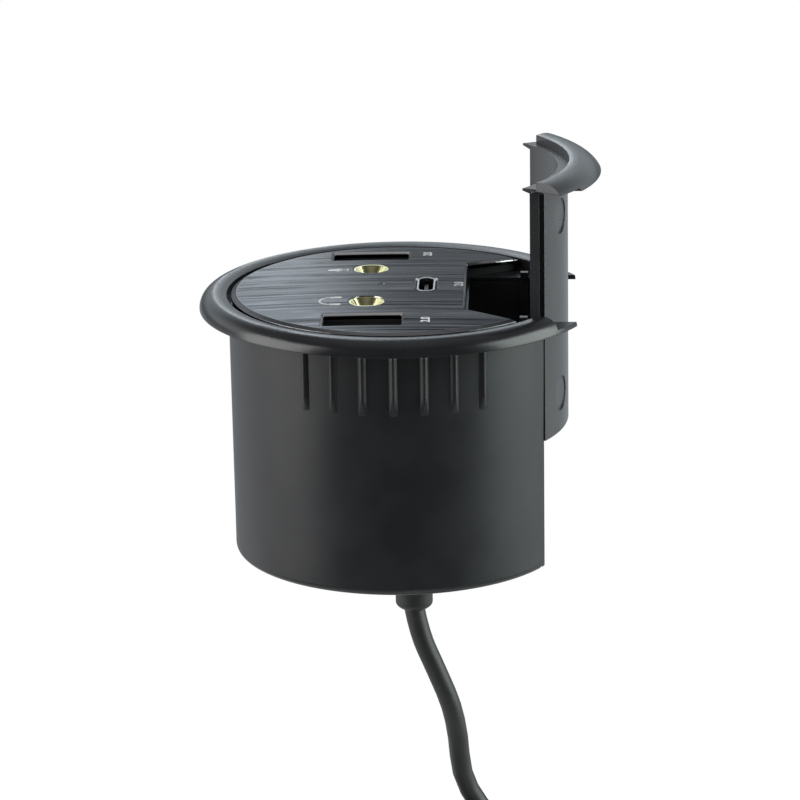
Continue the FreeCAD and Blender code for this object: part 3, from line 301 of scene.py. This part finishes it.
metals = {
    # marks: handling marks for each mm
    "brightShell": {"colour": (0.68, 0.68, 0.69), "roughness": 0.2, "marks": 0.8},
    "portSteel": {"colour": (0.4, 0.4, 0.41), "roughness": 0.2, "marks": 0.8},
    "giltMetal": {"colour": (0.78, 0.75, 0.40), "roughness": 0.14, "marks": 0.8},
    "screwSteel": {"colour": (0.55, 0.55, 0.56), "roughness": 0.3, "marks": 1.5},
}
plating = {"levels": (0.35, 0.65), "dull": 0.92, "gloss": 0.08, "depth": 0.0008, "edge": 0.06}


def metalFinish(name, look):
    # Plated or bare metal: faint handling marks dull its colour by a share and change its roughness
    finish = newFinish(name)
    marks = finish.noise(look["marks"], detail=4.0, roughness=0.6)
    dull = tuple(plating["dull"] * c for c in look["colour"])
    finish.shade(
        Base_Color=finish.blend(marks.between(*plating["levels"]), dull, look["colour"]),
        Metallic=1.0,
        Roughness=look["roughness"] + (marks - 0.5) * plating["gloss"],
        Normal=finish.relief(marks, plating["depth"], plating["edge"]),
    )
    return finish.owner


solderMask = {
    "slant": (0.35, 0.2),  # tracks for each mm along X and along Y
    "wander": (0.35, 2.5),  # bends for each mm, and how far they pull the tracks
    "near": (0.38, 0.44),  # the two sides of a track, as shares of the spacing
    "far": (0.6, 0.54),
    "bare": (0.008, 0.06, 0.025),
    "track": (0.02, 0.14, 0.05),
    "roughness": 0.3,
    "coat": 0.3,
    "relief": 0.03,
    "edge": 0.1,
}


def boardFinish():
    # Solder mask over copper: a track is raised where the fraction of a slanting, wandering count is about
    # a half
    finish = newFinish("boardGreen")
    scale, pull = solderMask["wander"]
    x, y, z = finish.axes()
    alongX, alongY = solderMask["slant"]
    lines = (x * alongX + y * alongY + finish.noise(scale) * pull).fraction()
    tracks = lines.between(*solderMask["near"]) * lines.between(*solderMask["far"])
    finish.shade(
        Base_Color=finish.blend(tracks, solderMask["bare"], solderMask["track"]),
        Roughness=solderMask["roughness"],
        Normal=finish.relief(tracks, solderMask["relief"], solderMask["edge"]),
        Coat_Weight=solderMask["coat"],
    )
    return finish.owner


tape = {
    "pile": 6.0,  # loops for each mm
    "weave": 9.0,  # radians of the weave for each mm
    "share": (0.7, 0.15),  # of the pile and of the weave in the relief
    "levels": (0.3, 0.7),
    "dark": (0.008, 0.008, 0.009),
    "light": (0.03, 0.03, 0.032),
    "roughness": 0.9,
    "relief": 0.12,
    "sheen": (0.4, 0.5),  # weight and roughness
}


def tapeFinish():
    # Hook and loop tape: a soft pile of tiny loops over a weave that is a sine of the height
    finish = newFinish("tapeFabric")
    pile = finish.noise(tape["pile"], detail=5.0, roughness=0.75)
    weave = (finish.axes()[2] * tape["weave"]).sine()
    height = pile * tape["share"][0] + weave * tape["share"][1]
    finish.shade(
        Base_Color=finish.blend(pile.between(*tape["levels"]), tape["dark"], tape["light"]),
        Roughness=tape["roughness"],
        Normal=finish.relief(height, tape["relief"]),
        Sheen_Weight=tape["sheen"][0],
        Sheen_Roughness=tape["sheen"][1],
    )
    return finish.owner


pipe = {"haze": 3.0, "dark": (0.02, 0.022, 0.024), "light": (0.04, 0.044, 0.048), "roughness": 0.45,
        "relief": 0.002, "edge": 0.05}


def pipeFinish():
    # Smoked acrylic of the lamp's light pipe, with a haze that runs from dark to light
    finish = newFinish("clearPipe")
    haze = finish.noise(pipe["haze"])
    finish.shade(
        Base_Color=finish.blend(haze, pipe["dark"], pipe["light"]),
        Roughness=pipe["roughness"],
        Normal=finish.relief(haze, pipe["relief"], pipe["edge"]),
    )
    return finish.owner


finishes = {name: mouldedFinish(name, look) for name, look in plastics.items()}
finishes["brushedPlate"] = brushedFinish()
finishes.update({name: metalFinish(name, look) for name, look in metals.items()})
finishes["boardGreen"] = boardFinish()
finishes["tapeFabric"] = tapeFinish()
finishes["clearPipe"] = pipeFinish()

nodeFinishes = {
    "satinBlack": ["housing", "bottom_cover"],
    "gateBlack": ["cable_gate"],
    "innerBlackPaintedShade": ["port_carrier"],
    "brushedPlate": ["face_plate"],
    "boardGreen": ["main_board"],
    "brightShell": ["front_usb_a_shell", "rear_usb_a_shell", "plug_shell"],
    "portSteel": ["usb_c_shell"],
    "giltMetal": ["front_usb_a_contacts", "rear_usb_a_contacts", "headphone_jack_sleeve",
                  "microphone_jack_sleeve"],
    "tongueBlack": ["front_usb_a_tongue", "rear_usb_a_tongue", "usb_c_tongue", "headphone_jack_body",
                    "microphone_jack_body", "plug_insert"],
    "blackRubber": ["inner_cable"],
    "lampWhite": ["status_led", "cable_header"],
    "clearPipe": ["light_pipe"],
    "chipBlack": ["hub_chip", "audio_chip", "regulator"],
    "capacitorTan": ["capacitors"],
    "screwSteel": ["board_screws", "cover_screws", "crystal"],
}
for finishName, nodeNames in nodeFinishes.items():
    for nodeName in nodeNames:
        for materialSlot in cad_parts[nodeName].material_slots:
            materialSlot.material = finishes[finishName]
print("finishes made")


def net(rows, columns, loopColumns=False):
    # Four-sided faces over a grid of points, joined round where the columns loop
    last = columns if loopColumns else columns - 1
    i, j = np.meshgrid(np.arange(rows - 1), np.arange(last), indexing="ij")
    k, m = i + 1, (j + 1) % columns
    return np.stack([i * columns + j, k * columns + j, k * columns + m, i * columns + m], -1).reshape(-1, 4)


def addPiece(name, points, faces, finishName, slotName, outward=True):
    # Puts points in mm and their faces into a mesh in metres, and merges the poles
    mesh = bpy.data.meshes.new(name)
    mesh.from_pydata((np.asarray(points).reshape(-1, 3) * mm).tolist(), [], np.asarray(faces).tolist())
    work = bmesh.new()
    work.from_mesh(mesh)
    bmesh.ops.remove_doubles(work, verts=work.verts, dist=1e-7)
    if outward:
        bmesh.ops.recalc_face_normals(work, faces=work.faces)
    work.to_mesh(mesh)
    work.free()
    mesh.shade_smooth()
    return rideHub(name, mesh, finishName)


def rideHub(name, data, finishName):
    # A mesh or curve becomes a piece of the hub with its finish
    data.materials.append(finishes[finishName])
    piece = bpy.data.objects.new(name, data)
    scene.collection.objects.link(piece)
    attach(piece, "hub")
    return piece


def nodeBox(name):
    # A node's lowest and highest corners in mm
    return [np.array(corner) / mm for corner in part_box(name)]


def turned(profile, middle, count):
    # Each point (radius, height) of a profile goes round the upright axis at the middle
    profile = np.asarray(profile, float)
    angle = np.linspace(0, 2 * np.pi, count, endpoint=False)
    x = middle[0] + profile[:, :1] * np.cos(angle)
    y = middle[1] + profile[:, :1] * np.sin(angle)
    z = np.repeat(profile[:, 1:], count, axis=1)
    return np.stack([x, y, z], -1), net(len(profile), count, loopColumns=True)


def softened(corners, bend, steps=5, most=0.45):
    # Rounds a profile's inner corners: each becomes a quadratic curve that starts and ends bend away,
    # or the share "most" of a shorter side
    corners = np.asarray(corners, float)
    points = [corners[:1]]
    t = np.linspace(0, 1, steps)[:, None]
    for a, b, c in zip(corners, corners[1:], corners[2:]):
        p = b + (a - b) * min(most, bend / np.linalg.norm(a - b))
        q = b + (c - b) * min(most, bend / np.linalg.norm(c - b))
        points.append((1 - t) ** 2 * p + 2 * t * (1 - t) * b + t**2 * q)
    points.append(corners[-1:])
    return np.concatenate(points)


ribs = {
    "step": 10.2,  # degrees from one rib to the next
    "each": 7,  # on the near side and on the far side
    "radius": 29.9,  # of the body under the flange
    "taper": 0.3 / 44.4,  # how much narrower the body gets for each mm down
    "halfWidth": 0.76,
    "height": 0.62,
    "power": 1.6,  # 2 is a round ridge and 1 a sharp one
    "inner": 0.4,  # depth inside the body's wall, as a share of the height
    "sink": 0.02,  # how far the ridge's edges lie inside the wall
    "length": 11.9,
    "slope": 2.4,  # length of the slope at the lower end
    "gap": 0.1,  # between the last straight ring and the first on the slope
    "rings": 12,  # on the straight length, and on the slope
    "around": 48,
}


def makeRibs():
    # Across a rib its height is h (1 - |u|^power), and h falls evenly to nothing along its slope
    turn = np.linspace(0, 2 * np.pi, ribs["around"], endpoint=False)
    bend = ribs["length"] - ribs["slope"]
    straight = np.linspace(0, bend, ribs["rings"])
    slope = np.linspace(bend + ribs["gap"], ribs["length"], ribs["rings"])
    down = np.concatenate([straight, slope])
    high = ribs["height"] * np.clip((ribs["length"] - down) / ribs["slope"], 0, 1)
    out = np.where(np.sin(turn) > 0, 1, -ribs["inner"]) * (1 - np.abs(np.cos(turn)) ** ribs["power"])
    out = np.outer(np.maximum(high, ribs["sink"]), out) - ribs["sink"]
    out[[0, -1]] = 0
    across = np.outer(np.ones(len(down)), ribs["halfWidth"] * np.cos(turn))
    across[[0, -1]] = 0
    base = ribs["radius"] - ribs["taper"] * down[:, None]
    turns = np.radians(ribs["step"] * (np.arange(ribs["each"]) - ribs["each"] // 2))
    places = np.concatenate([turns - np.pi / 2, turns + np.pi / 2])[:, None, None]
    bearing = places + across / base
    radius = (base + out) * np.ones_like(bearing)
    z = -down[:, None] * np.ones_like(bearing)
    points = np.stack([radius * np.cos(bearing), radius * np.sin(bearing), z], -1)
    one = net(len(down), len(turn), loopColumns=True)
    faces = one + (np.arange(len(places)) * len(down) * len(turn))[:, None, None]
    return addPiece("crushRibs", points, faces.reshape(-1, 4), "satinBlack", "satin_black")


makeRibs()
print("ribs formed")

lead = {
    "diameter": 3.7,
    "route": [(2.1, 0.0, -56.8), (3.0, 0.0, -62.0), (5.7, 0.1, -68.3), (9.6, 0.9, -78.5), (10.2, 6.3, -95.0),
              (22.5, 6.3, -107.3)],
    "length": 1539,
    "firstAngle": 45.0,  # where on its first turn the cable meets the coil, from +X towards +Z
    "innerRadius": 15.2,
    "pitch": 4.2,  # spacing of the turns and of the layers
    "layers": 4,
    "halfTurns": 5,  # in a layer, without the climb to the next
    "pointsPerHalf": 10,
    "plugStep": 6.2,  # how far the last stretch comes forwards to clear the turns
}


def coilTurns():
    # Radius, sweep and step forwards of each half turn: layers spiral in and out, and climbs join them
    inner, step, halfTurns = lead["innerRadius"], lead["pitch"] / 2, lead["halfTurns"]
    turns = []
    for layer in range(lead["layers"]):
        inward, last = layer % 2 == 0, layer == lead["layers"] - 1
        halves = range(halfTurns, 0, -1) if inward else range(1, halfTurns + 1 - last)
        turns += [(inner + i * step, math.pi, 0.0) for i in halves]
        if not last:
            turns.append((inner if inward else inner + (halfTurns + 1) * step, math.pi, lead["pitch"]))
    turns.append((inner + halfTurns * step, math.radians(lead["firstAngle"]), lead["plugStep"]))
    return turns


def coilPoints():
    # A turn's point is its middle plus its radius along the angle, moving forwards as 3s^2 - 2s^3.
    # The points stand out by 4 / (3 + cos step), so that the curve inside them keeps the radius.
    angle = math.radians(lead["firstAngle"])
    at = np.array(lead["route"][-1])
    way = np.array([math.sin(angle), 0, -math.cos(angle)])
    at = at + way * lead["diameter"]
    points = [at[None]]
    for radius, sweep, forwards in coilTurns():
        count = max(3, round(lead["pointsPerHalf"] * sweep / math.pi))
        s = np.arange(1, count + 1) / count
        middle = at - radius * np.array([math.cos(angle), 0, math.sin(angle)])
        bearing = angle - sweep * s
        stretch = 4 / (3 + math.cos(sweep / count))
        y = middle[1] - forwards * (3 * s**2 - 2 * s**3)
        arc = np.stack([np.cos(bearing), np.zeros(count), np.sin(bearing)], -1)
        across = np.stack([middle[0] + 0 * s, y, middle[2] + 0 * s], -1)
        points.append(across + arc * radius * stretch)
        at = (across + arc * radius)[-1]
        angle -= sweep
    points.append(at[None] - [[0, 0, lead["diameter"]]])
    return np.concatenate(points)


def makeLead():
    # One smooth curve, drawn by the route's points and the coil's, from the first point to the last
    points = np.concatenate([np.array(lead["route"]), coilPoints()]) * mm
    curve = bpy.data.curves.new("lead", "CURVE")
    curve.dimensions = "3D"
    curve.bevel_depth = lead["diameter"] / 2 * mm
    curve.bevel_resolution = 6
    curve.use_fill_caps = True
    spline = curve.splines.new("NURBS")
    spline.points.add(len(points) - 1)
    spline.points.foreach_set("co", np.column_stack([points, np.ones(len(points))]).ravel())
    spline.order_u = 3
    spline.use_endpoint_u = True
    spline.resolution_u = 4
    piece = rideHub("lead", curve, "blackRubber")
    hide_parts("cable", "cable_coil")
    return piece


leadPiece = makeLead()
print("lead laid")

relief = {
    "middle": (2.1, 0.0),
    "sleeve": 3.35,
    "cable": 1.9,
    "lip": 0.5,  # flat left round the cable at the lower end
    "taper": 0.8,
    "collar": 4.8,
    "collarHeight": 1.5,
    "soft": 0.5,  # how far the corners' rounds reach
    "around": 64,
}


def makeRelief():
    # A sleeve turned round the cable, with a soft lower end and its collar inside the cover
    low, high = nodeBox("strain_relief")
    collar = high[2] - relief["collarHeight"]
    corners = [
        (0.0, low[2]),
        (relief["cable"], low[2]),
        (relief["cable"] + relief["lip"], low[2]),
        (relief["sleeve"], low[2] + relief["taper"]),
        (relief["sleeve"], collar),
        (relief["collar"], collar),
        (relief["collar"], high[2]),
        (0.0, high[2]),
    ]
    points, faces = turned(softened(corners, relief["soft"]), relief["middle"], relief["around"])
    piece = addPiece("reliefSleeve", points, faces, "blackRubber", "black_rubber")
    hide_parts("strain_relief")
    return piece


reliefPiece = makeRelief()

grip = {
    "width": 15.6,
    "thickness": 8.0,
    "length": 20.0,
    "neck": 8.0,
    "neckTop": 2.3,
    "neckFoot": 3.3,
    "ribs": 4,
    "ribDepth": 0.35,
    "end": (1.6, 0.9),  # mm over which the grip's ends curve in, and the share of it in the thickness
    "waist": (0.35, 0.5),  # the same for the hollow that the fingers hold
    "waistPlace": 1.3,  # above 1, the hollow lies nearer to the neck
    "square": 4.2,  # power of the grip's section: 2 is an ellipse
    "rings": (60, 70),  # on the neck and on the grip
    "around": 96,
}


def makeGrip():
    # Sections from the neck's top down: |x/a|^n + |y/b|^n = 1, round on the neck and squarer along the grip
    low, high = nodeBox("plug_overmould")
    middle = (low + high) / 2
    neck = np.linspace(0, grip["neck"], grip["rings"][0])
    wave = grip["ribDepth"] * np.cos(2 * np.pi * grip["ribs"] * neck / grip["neck"])
    wider = (grip["neckFoot"] - grip["neckTop"]) * neck / grip["neck"]
    neckSize = grip["neckTop"] + wider - grip["ribDepth"] + wave
    down = np.linspace(0, 1, grip["rings"][1])
    end, endShare = grip["end"]
    curved = np.clip(np.minimum(down, 1 - down) * grip["length"] / end, 0, 1)
    pull = end * (1 - np.sqrt(1 - (1 - curved) ** 2))
    hollow, hollowShare = grip["waist"]
    waist = hollow * np.sin(np.pi * np.clip(down * grip["waistPlace"], 0, 1)) ** 2
    depth = np.concatenate([neck, grip["neck"] + grip["length"] * down])
    a = np.concatenate([neckSize, grip["width"] / 2 - pull - waist])
    b = np.concatenate([neckSize, grip["thickness"] / 2 - pull * endShare - waist * hollowShare])
    power = np.concatenate([np.full(len(neck), 2.0), np.full(len(down), grip["square"])])
    depth, power = (np.concatenate([v[:1], v, v[-1:]]) for v in (depth, power))
    a, b = (np.concatenate([[0], v, [0]]) for v in (a, b))
    angle = np.linspace(0, 2 * np.pi, grip["around"], endpoint=False)
    c, s = np.cos(angle), np.sin(angle)
    x = middle[0] + a[:, None] * np.sign(c) * np.abs(c) ** (2 / power[:, None])
    y = middle[1] + b[:, None] * np.sign(s) * np.abs(s) ** (2 / power[:, None])
    z = high[2] - np.repeat(depth[:, None], len(angle), 1)
    faces = net(len(depth), len(angle), loopColumns=True)
    piece = addPiece("plugGrip", np.stack([x, y, z], -1), faces, "blackRubber", "black_rubber")
    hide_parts("plug_overmould")
    return piece


gripPiece = makeGrip()

strap = {
    "thickness": 1.0,
    "width": 8.0,
    "corner": 0.22,  # power of the loop's outline: 1 is an ellipse and 0 a rectangle
    "overlap": 0.12,  # of a turn
    "lift": 1.15,  # how far the free end lies outside the start
    "rise": 0.03,  # of a turn, over which it gets there
    "section": (0.4, 0.25),  # powers of the section across its thickness and its width
    "steps": 220,
    "around": 24,
}


def makeStrap():
    # A flat section carried round a rounded rectangle, whose free end runs on over its start
    low, high = nodeBox("coil_tie")
    middle, half = (low + high) / 2, (high - low) / 2 - strap["thickness"] / 2
    s = np.linspace(0, 1 + strap["overlap"], strap["steps"])
    c, d = np.cos(2 * np.pi * s), np.sin(2 * np.pi * s)
    out = strap["lift"] * np.clip((s - 1) / strap["rise"], 0, 1)
    x = (half[0] + out) * np.sign(c) * np.abs(c) ** strap["corner"]
    y = (half[1] + out) * np.sign(d) * np.abs(d) ** strap["corner"]
    path = np.stack([x, y], -1)
    way = np.gradient(path, axis=0)
    way /= np.linalg.norm(way, axis=1, keepdims=True)
    normal = np.stack([way[:, 1], -way[:, 0]], -1)
    turn = np.linspace(0, 2 * np.pi, strap["around"], endpoint=False)
    thick, wide = strap["section"]
    deep = strap["thickness"] / 2 * np.sign(np.cos(turn)) * np.abs(np.cos(turn)) ** thick
    tall = strap["width"] / 2 * np.sign(np.sin(turn)) * np.abs(np.sin(turn)) ** wide
    points = np.empty((len(s) + 2, len(turn), 3))
    points[1:-1, :, :2] = middle[:2] + path[:, None] + normal[:, None] * deep[None, :, None]
    points[1:-1, :, 2] = middle[2] + tall
    points[0] = points[1].mean(0)
    points[-1] = points[-2].mean(0)
    faces = net(*points.shape[:2], loopColumns=True)
    piece = addPiece("coilStrap", points, faces, "tapeFabric", "tie_fabric")
    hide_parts("coil_tie")
    return piece


strapPiece = makeStrap()
print("strain relief, plug and strap made")

marks = {
    "thickness": 0.03,
    "rows": 5,  # of points across a stroke
    "barPoints": 24,
    "bowPoints": 40,
    "barTip": 0.02,  # least width at a bar's very end, as a share of its width
    "ink": {"patches": 4.0, "levels": (0.3, 0.7), "thin": (0.7, 0.7, 0.71), "full": (0.86, 0.86, 0.87),
            "roughness": 0.5},
    # Strokes of a sign: bar from, to, half width; bow middle, radius, start and end in degrees, half width
    "microphoneSign": {
        "place": (-10.85, 10.25),
        "strokes": [
            ("bar", (0, -0.25), (0, 1.95), 0.62),
            ("bow", (0, 0.35), 0.85, 180, 360, 0.135),
            ("bar", (0, -0.45), (0, -1.5), 0.15),
            ("bar", (-0.65, -1.6), (0.65, -1.6), 0.15),
        ],
    },
    "headphoneSign": {
        "place": (-11.5, -10.4),
        "strokes": [
            ("bow", (0, -0.3), 2.1, -12, 192, 0.15),
            ("bar", (-2.05, 0.1), (-2.05, -2.0), 0.42),
            ("bar", (2.05, 0.1), (2.05, -2.0), 0.42),
        ],
    },
    "number": {"text": "2.0", "height": 2.2, "bold": 0.045,
               "places": [(4.75, 22.3), (5.45, -21.6), (10.8, 0.0)]},
}


def inkFinish():
    # White screen print, a little thin in patches
    ink = marks["ink"]
    finish = newFinish("whitePrint")
    cover = finish.noise(ink["patches"], detail=3.0).between(*ink["levels"])
    finish.shade(Base_Color=finish.blend(cover, ink["thin"], ink["full"]), Roughness=ink["roughness"])
    return finish.owner


finishes["whitePrint"] = inkFinish()


def ontoPlate(points):
    # Lays flat points (x, y) on the crowned plate: height = edge + rise * (1 - r^2 / R^2)
    edge, rise, radius = plate["crown"]
    z = edge + rise * (1 - (points**2).sum(-1) / radius**2) + marks["thickness"] / 2
    return np.concatenate([points, z[..., None]], -1)


def ribbon(path, halfWidths):
    # A path's points moved to both sides by half the width, along the path's normal
    way = np.gradient(path, axis=0)
    way /= np.linalg.norm(way, axis=1, keepdims=True)
    normal = np.stack([-way[:, 1], way[:, 0]], -1)
    offset = np.linspace(-1, 1, marks["rows"])[None, :, None]
    return path[:, None] + normal[:, None] * halfWidths[:, None, None] * offset


def sign(place, along, up):
    # Turns a sign's own axes to the plate's: up points at -X and right at +Y
    return np.stack([place[0] - up, place[1] + along], -1)


def capsuleWidths(count, halfWidth, length):
    # Half widths along a bar with half circles at its ends: w sqrt(1 - (1 - s)^2), but never under barTip
    at = np.linspace(0, length, count)
    near = np.clip(np.minimum(at, length - at) / halfWidth, 0, 1)
    return halfWidth * np.sqrt(np.clip(1 - (1 - near) ** 2, marks["barTip"] ** 2, 1))


def bar(place, a, b, halfWidth):
    # A round-ended bar: its points run evenly from a to b
    a, b = np.array(a, float), np.array(b, float)
    t = np.linspace(0, 1, marks["barPoints"])[:, None]
    line = a + (b - a) * t
    widths = capsuleWidths(marks["barPoints"], halfWidth, np.linalg.norm(b - a))
    return sign(place, line[:, 0], line[:, 1]), widths


def bow(place, middle, radius, start, end, halfWidth):
    # Part of a circle, from the start angle to the end angle
    angle = np.radians(np.linspace(start, end, marks["bowPoints"]))
    along = middle[0] + radius * np.cos(angle)
    up = middle[1] + radius * np.sin(angle)
    return sign(place, along, up), np.full(marks["bowPoints"], halfWidth)


def thicken(piece):
    # A flat piece gets a wall of the ink's thickness
    wall = piece.modifiers.new("wall", "SOLIDIFY")
    wall.thickness = marks["thickness"] * mm
    wall.offset = -1


def makeSign(name):
    # Each stroke is a ribbon laid on the plate, and the strokes of a sign are one mesh
    makers = {"bar": bar, "bow": bow}
    points, faces, start = [], [], 0
    for kind, *values in marks[name]["strokes"]:
        grid = ontoPlate(ribbon(*makers[kind](marks[name]["place"], *values)))
        points.append(grid.reshape(-1, 3))
        faces.append(net(*grid.shape[:2]) + start)
        start += len(points[-1])
    pieces = np.concatenate(points), np.concatenate(faces)
    thicken(addPiece(name, *pieces, "whitePrint", "lamp_white", outward=False))


def makeNumber(name, place):
    # The outline of the text, filled flat and laid on the plate
    number = marks["number"]
    text = bpy.data.curves.new(name, "FONT")
    text.body = number["text"]
    text.size = number["height"]
    text.align_x = text.align_y = "CENTER"
    text.offset = number["bold"]
    maker = bpy.data.objects.new("numberMaker", text)
    scene.collection.objects.link(maker)
    bpy.context.view_layer.update()
    flat = bpy.data.meshes.new_from_object(maker.evaluated_get(bpy.context.evaluated_depsgraph_get()))
    bpy.data.objects.remove(maker)
    points = np.empty(len(flat.vertices) * 3)
    flat.vertices.foreach_get("co", points)
    points = points.reshape(-1, 3)
    points = ontoPlate(sign(place, points[:, 0], points[:, 1]))
    mesh = bpy.data.meshes.new(name)
    mesh.from_pydata((points * mm).tolist(), [], [list(face.vertices) for face in flat.polygons])
    thicken(rideHub(name, mesh, "whitePrint"))


for signName in ("microphoneSign", "headphoneSign"):
    makeSign(signName)
for index, numberPlace in enumerate(marks["number"]["places"]):
    makeNumber(f"portNumber{index}", numberPlace)
print("signs printed")

floor = {
    "height": -0.1845,  # m, just under the plug's tip
    "radius": 0.34,
    "fade": (0.1, 0.3),  # m from the middle, between which it turns see-through
    "glow": 0.35,  # added for the camera, so that the floor nears the white around it
    "cloud": 0.02,
    "dark": (0.86, 0.86, 0.86),
    "light": (0.88, 0.88, 0.88),
    "roughness": 0.8,
    "rings": 24,
    "around": 96,
}


def makeFloor():
    # A flat disc: pale, and see-through from below and towards its edge, where the white surround takes over
    finish = newFinish("floorWhite")
    x, y, z = finish.axes()
    away = (x * x + y * y).root() * mm
    cloud = finish.noise(floor["cloud"])
    clear = finish.node("ShaderNodeBsdfTransparent")
    below = finish.node("ShaderNodeNewGeometry", output="Backfacing")
    finish.shade(
        Base_Color=finish.blend(cloud, floor["dark"], floor["light"]),
        Roughness=floor["roughness"],
        Emission_Color=(1.0, 1.0, 1.0),
        Emission_Strength=finish.node("ShaderNodeLightPath", output="Is Camera Ray") * floor["glow"],
    )
    shader = Signal(finish, finish.tree.nodes["Principled BSDF"].outputs[0])
    hidden = away.between(*floor["fade"]).most(below)
    mixed = finish.node("ShaderNodeMixShader", sockets={0: hidden, 1: shader, 2: clear})
    finish.feed(finish.tree.nodes["Material Output"].inputs["Surface"], mixed)
    radius = np.linspace(0, floor["radius"], floor["rings"]) / mm
    height = np.full(floor["rings"], floor["height"] / mm)
    points, faces = turned(np.column_stack([radius, height]), (0, 0), floor["around"])
    mesh = bpy.data.meshes.new("floor")
    mesh.from_pydata((points.reshape(-1, 3) * mm).tolist(), [], faces.tolist())
    mesh.materials.append(finish.owner)
    piece = bpy.data.objects.new("floor", mesh)
    scene.collection.objects.link(piece)


surround = {
    "ambient": 0.35,  # even light on everything that isn't gloss
    "front": 0.06,  # what gloss sees on the camera's side
    "behind": (-0.1, 0.4),  # depth between which the pale back sets in
    "back": 0.5,
    "sides": (0.5, 0.9),  # how far out the back is lighter
    "side": 0.4,
    "low": (-0.2, -0.06, 1.0, 0.35),  # the back's level falls towards the horizon
    "middle": (0.05, 0.2, 0.0, 1.2),  # rises above it
    "high": (0.4, 0.7, 1.0, 0.15),  # and falls again higher up
    "top": (0.75, 0.97),
    "overhead": 0.3,
    "window": 3.4,  # a narrow patch behind, seen in the plate
    "windowSides": ((-0.14, -0.085), (-0.045, -0.08)),
    "windowFoot": (0.05, 0.15),
    "windowDepth": (0.5, 0.8),
    "tintDepth": (0.3, 0.9),
    "tint": (0.91, 1.0, 1.07),
}


def makeSurround():
    # World by the direction (x, y, z): white to the camera, and even to rough surfaces. Gloss sees a dark
    # front, a pale back whose level changes with height, a little light above and the window behind, and
    # the back of all this is bluish.
    world = bpy.data.worlds.new("surround")
    scene.world = world
    air = Finish(world)
    seen = air.node("ShaderNodeLightPath", output="Is Camera Ray")
    glossy = air.node("ShaderNodeLightPath", output="Is Glossy Ray")
    passed = air.node("ShaderNodeLightPath", output="Is Transmission Ray")
    x, y, z = air.split(air.node("ShaderNodeTexCoord", output="Generated"))
    behind = y.between(*surround["behind"])
    behind = behind * (surround["back"] + x.size().between(*surround["sides"]) * surround["side"])
    left, right = surround["windowSides"]
    window = x.between(*left) * x.between(*right)
    window = window * z.between(*surround["windowFoot"]) * y.between(*surround["windowDepth"])
    height = (z.between(*surround["low"]) + z.between(*surround["middle"])) * z.between(*surround["high"])
    overhead = z.between(*surround["top"]) * surround["overhead"]
    gloss = surround["front"] + behind * height + overhead + window * surround["window"]
    shiny = glossy.most(passed)
    level = surround["ambient"] * (1 - shiny) + gloss * shiny
    level = level * (1 - seen) + seen
    tint = air.blend(y.between(*surround["tintDepth"]) * shiny, (1.0, 1.0, 1.0), surround["tint"])
    background = air.tree.nodes["Background"]
    air.feed(background.inputs["Color"], tint)
    air.feed(background.inputs["Strength"], level)


lamps = {
    # place and size in metres
    "leftLamp": {"place": (-1.16, -0.34, 0.25), "size": (1.05, 1.2), "radiance": 5.0,
                 "colour": (1.0, 1.0, 1.0)},
    "rightLamp": {"place": (1.2, -0.16, 0.25), "size": (1.05, 1.2), "radiance": 6.0,
                  "colour": (0.9, 1.0, 0.965)},
}
lampAim = (0, 0, -0.02)


def makeLamps():
    # An even lamp's power is pi times its area times its radiance
    for name, look in lamps.items():
        data = bpy.data.lights.new(name, "AREA")
        data.shape = "RECTANGLE"
        wide, tall = look["size"]
        data.size, data.size_y = wide, tall
        data.energy = math.pi * wide * tall * look["radiance"]
        data.color = look["colour"]
        lamp = bpy.data.objects.new(name, data)
        lamp.location = look["place"]
        lamp.rotation_mode = "QUATERNION"
        lamp.rotation_quaternion = (Vector(lampAim) - Vector(look["place"])).to_track_quat("-Z", "Y")
        lamp.visible_camera = False
        scene.collection.objects.link(lamp)


makeFloor()
makeSurround()
makeLamps()
print("studio lit")
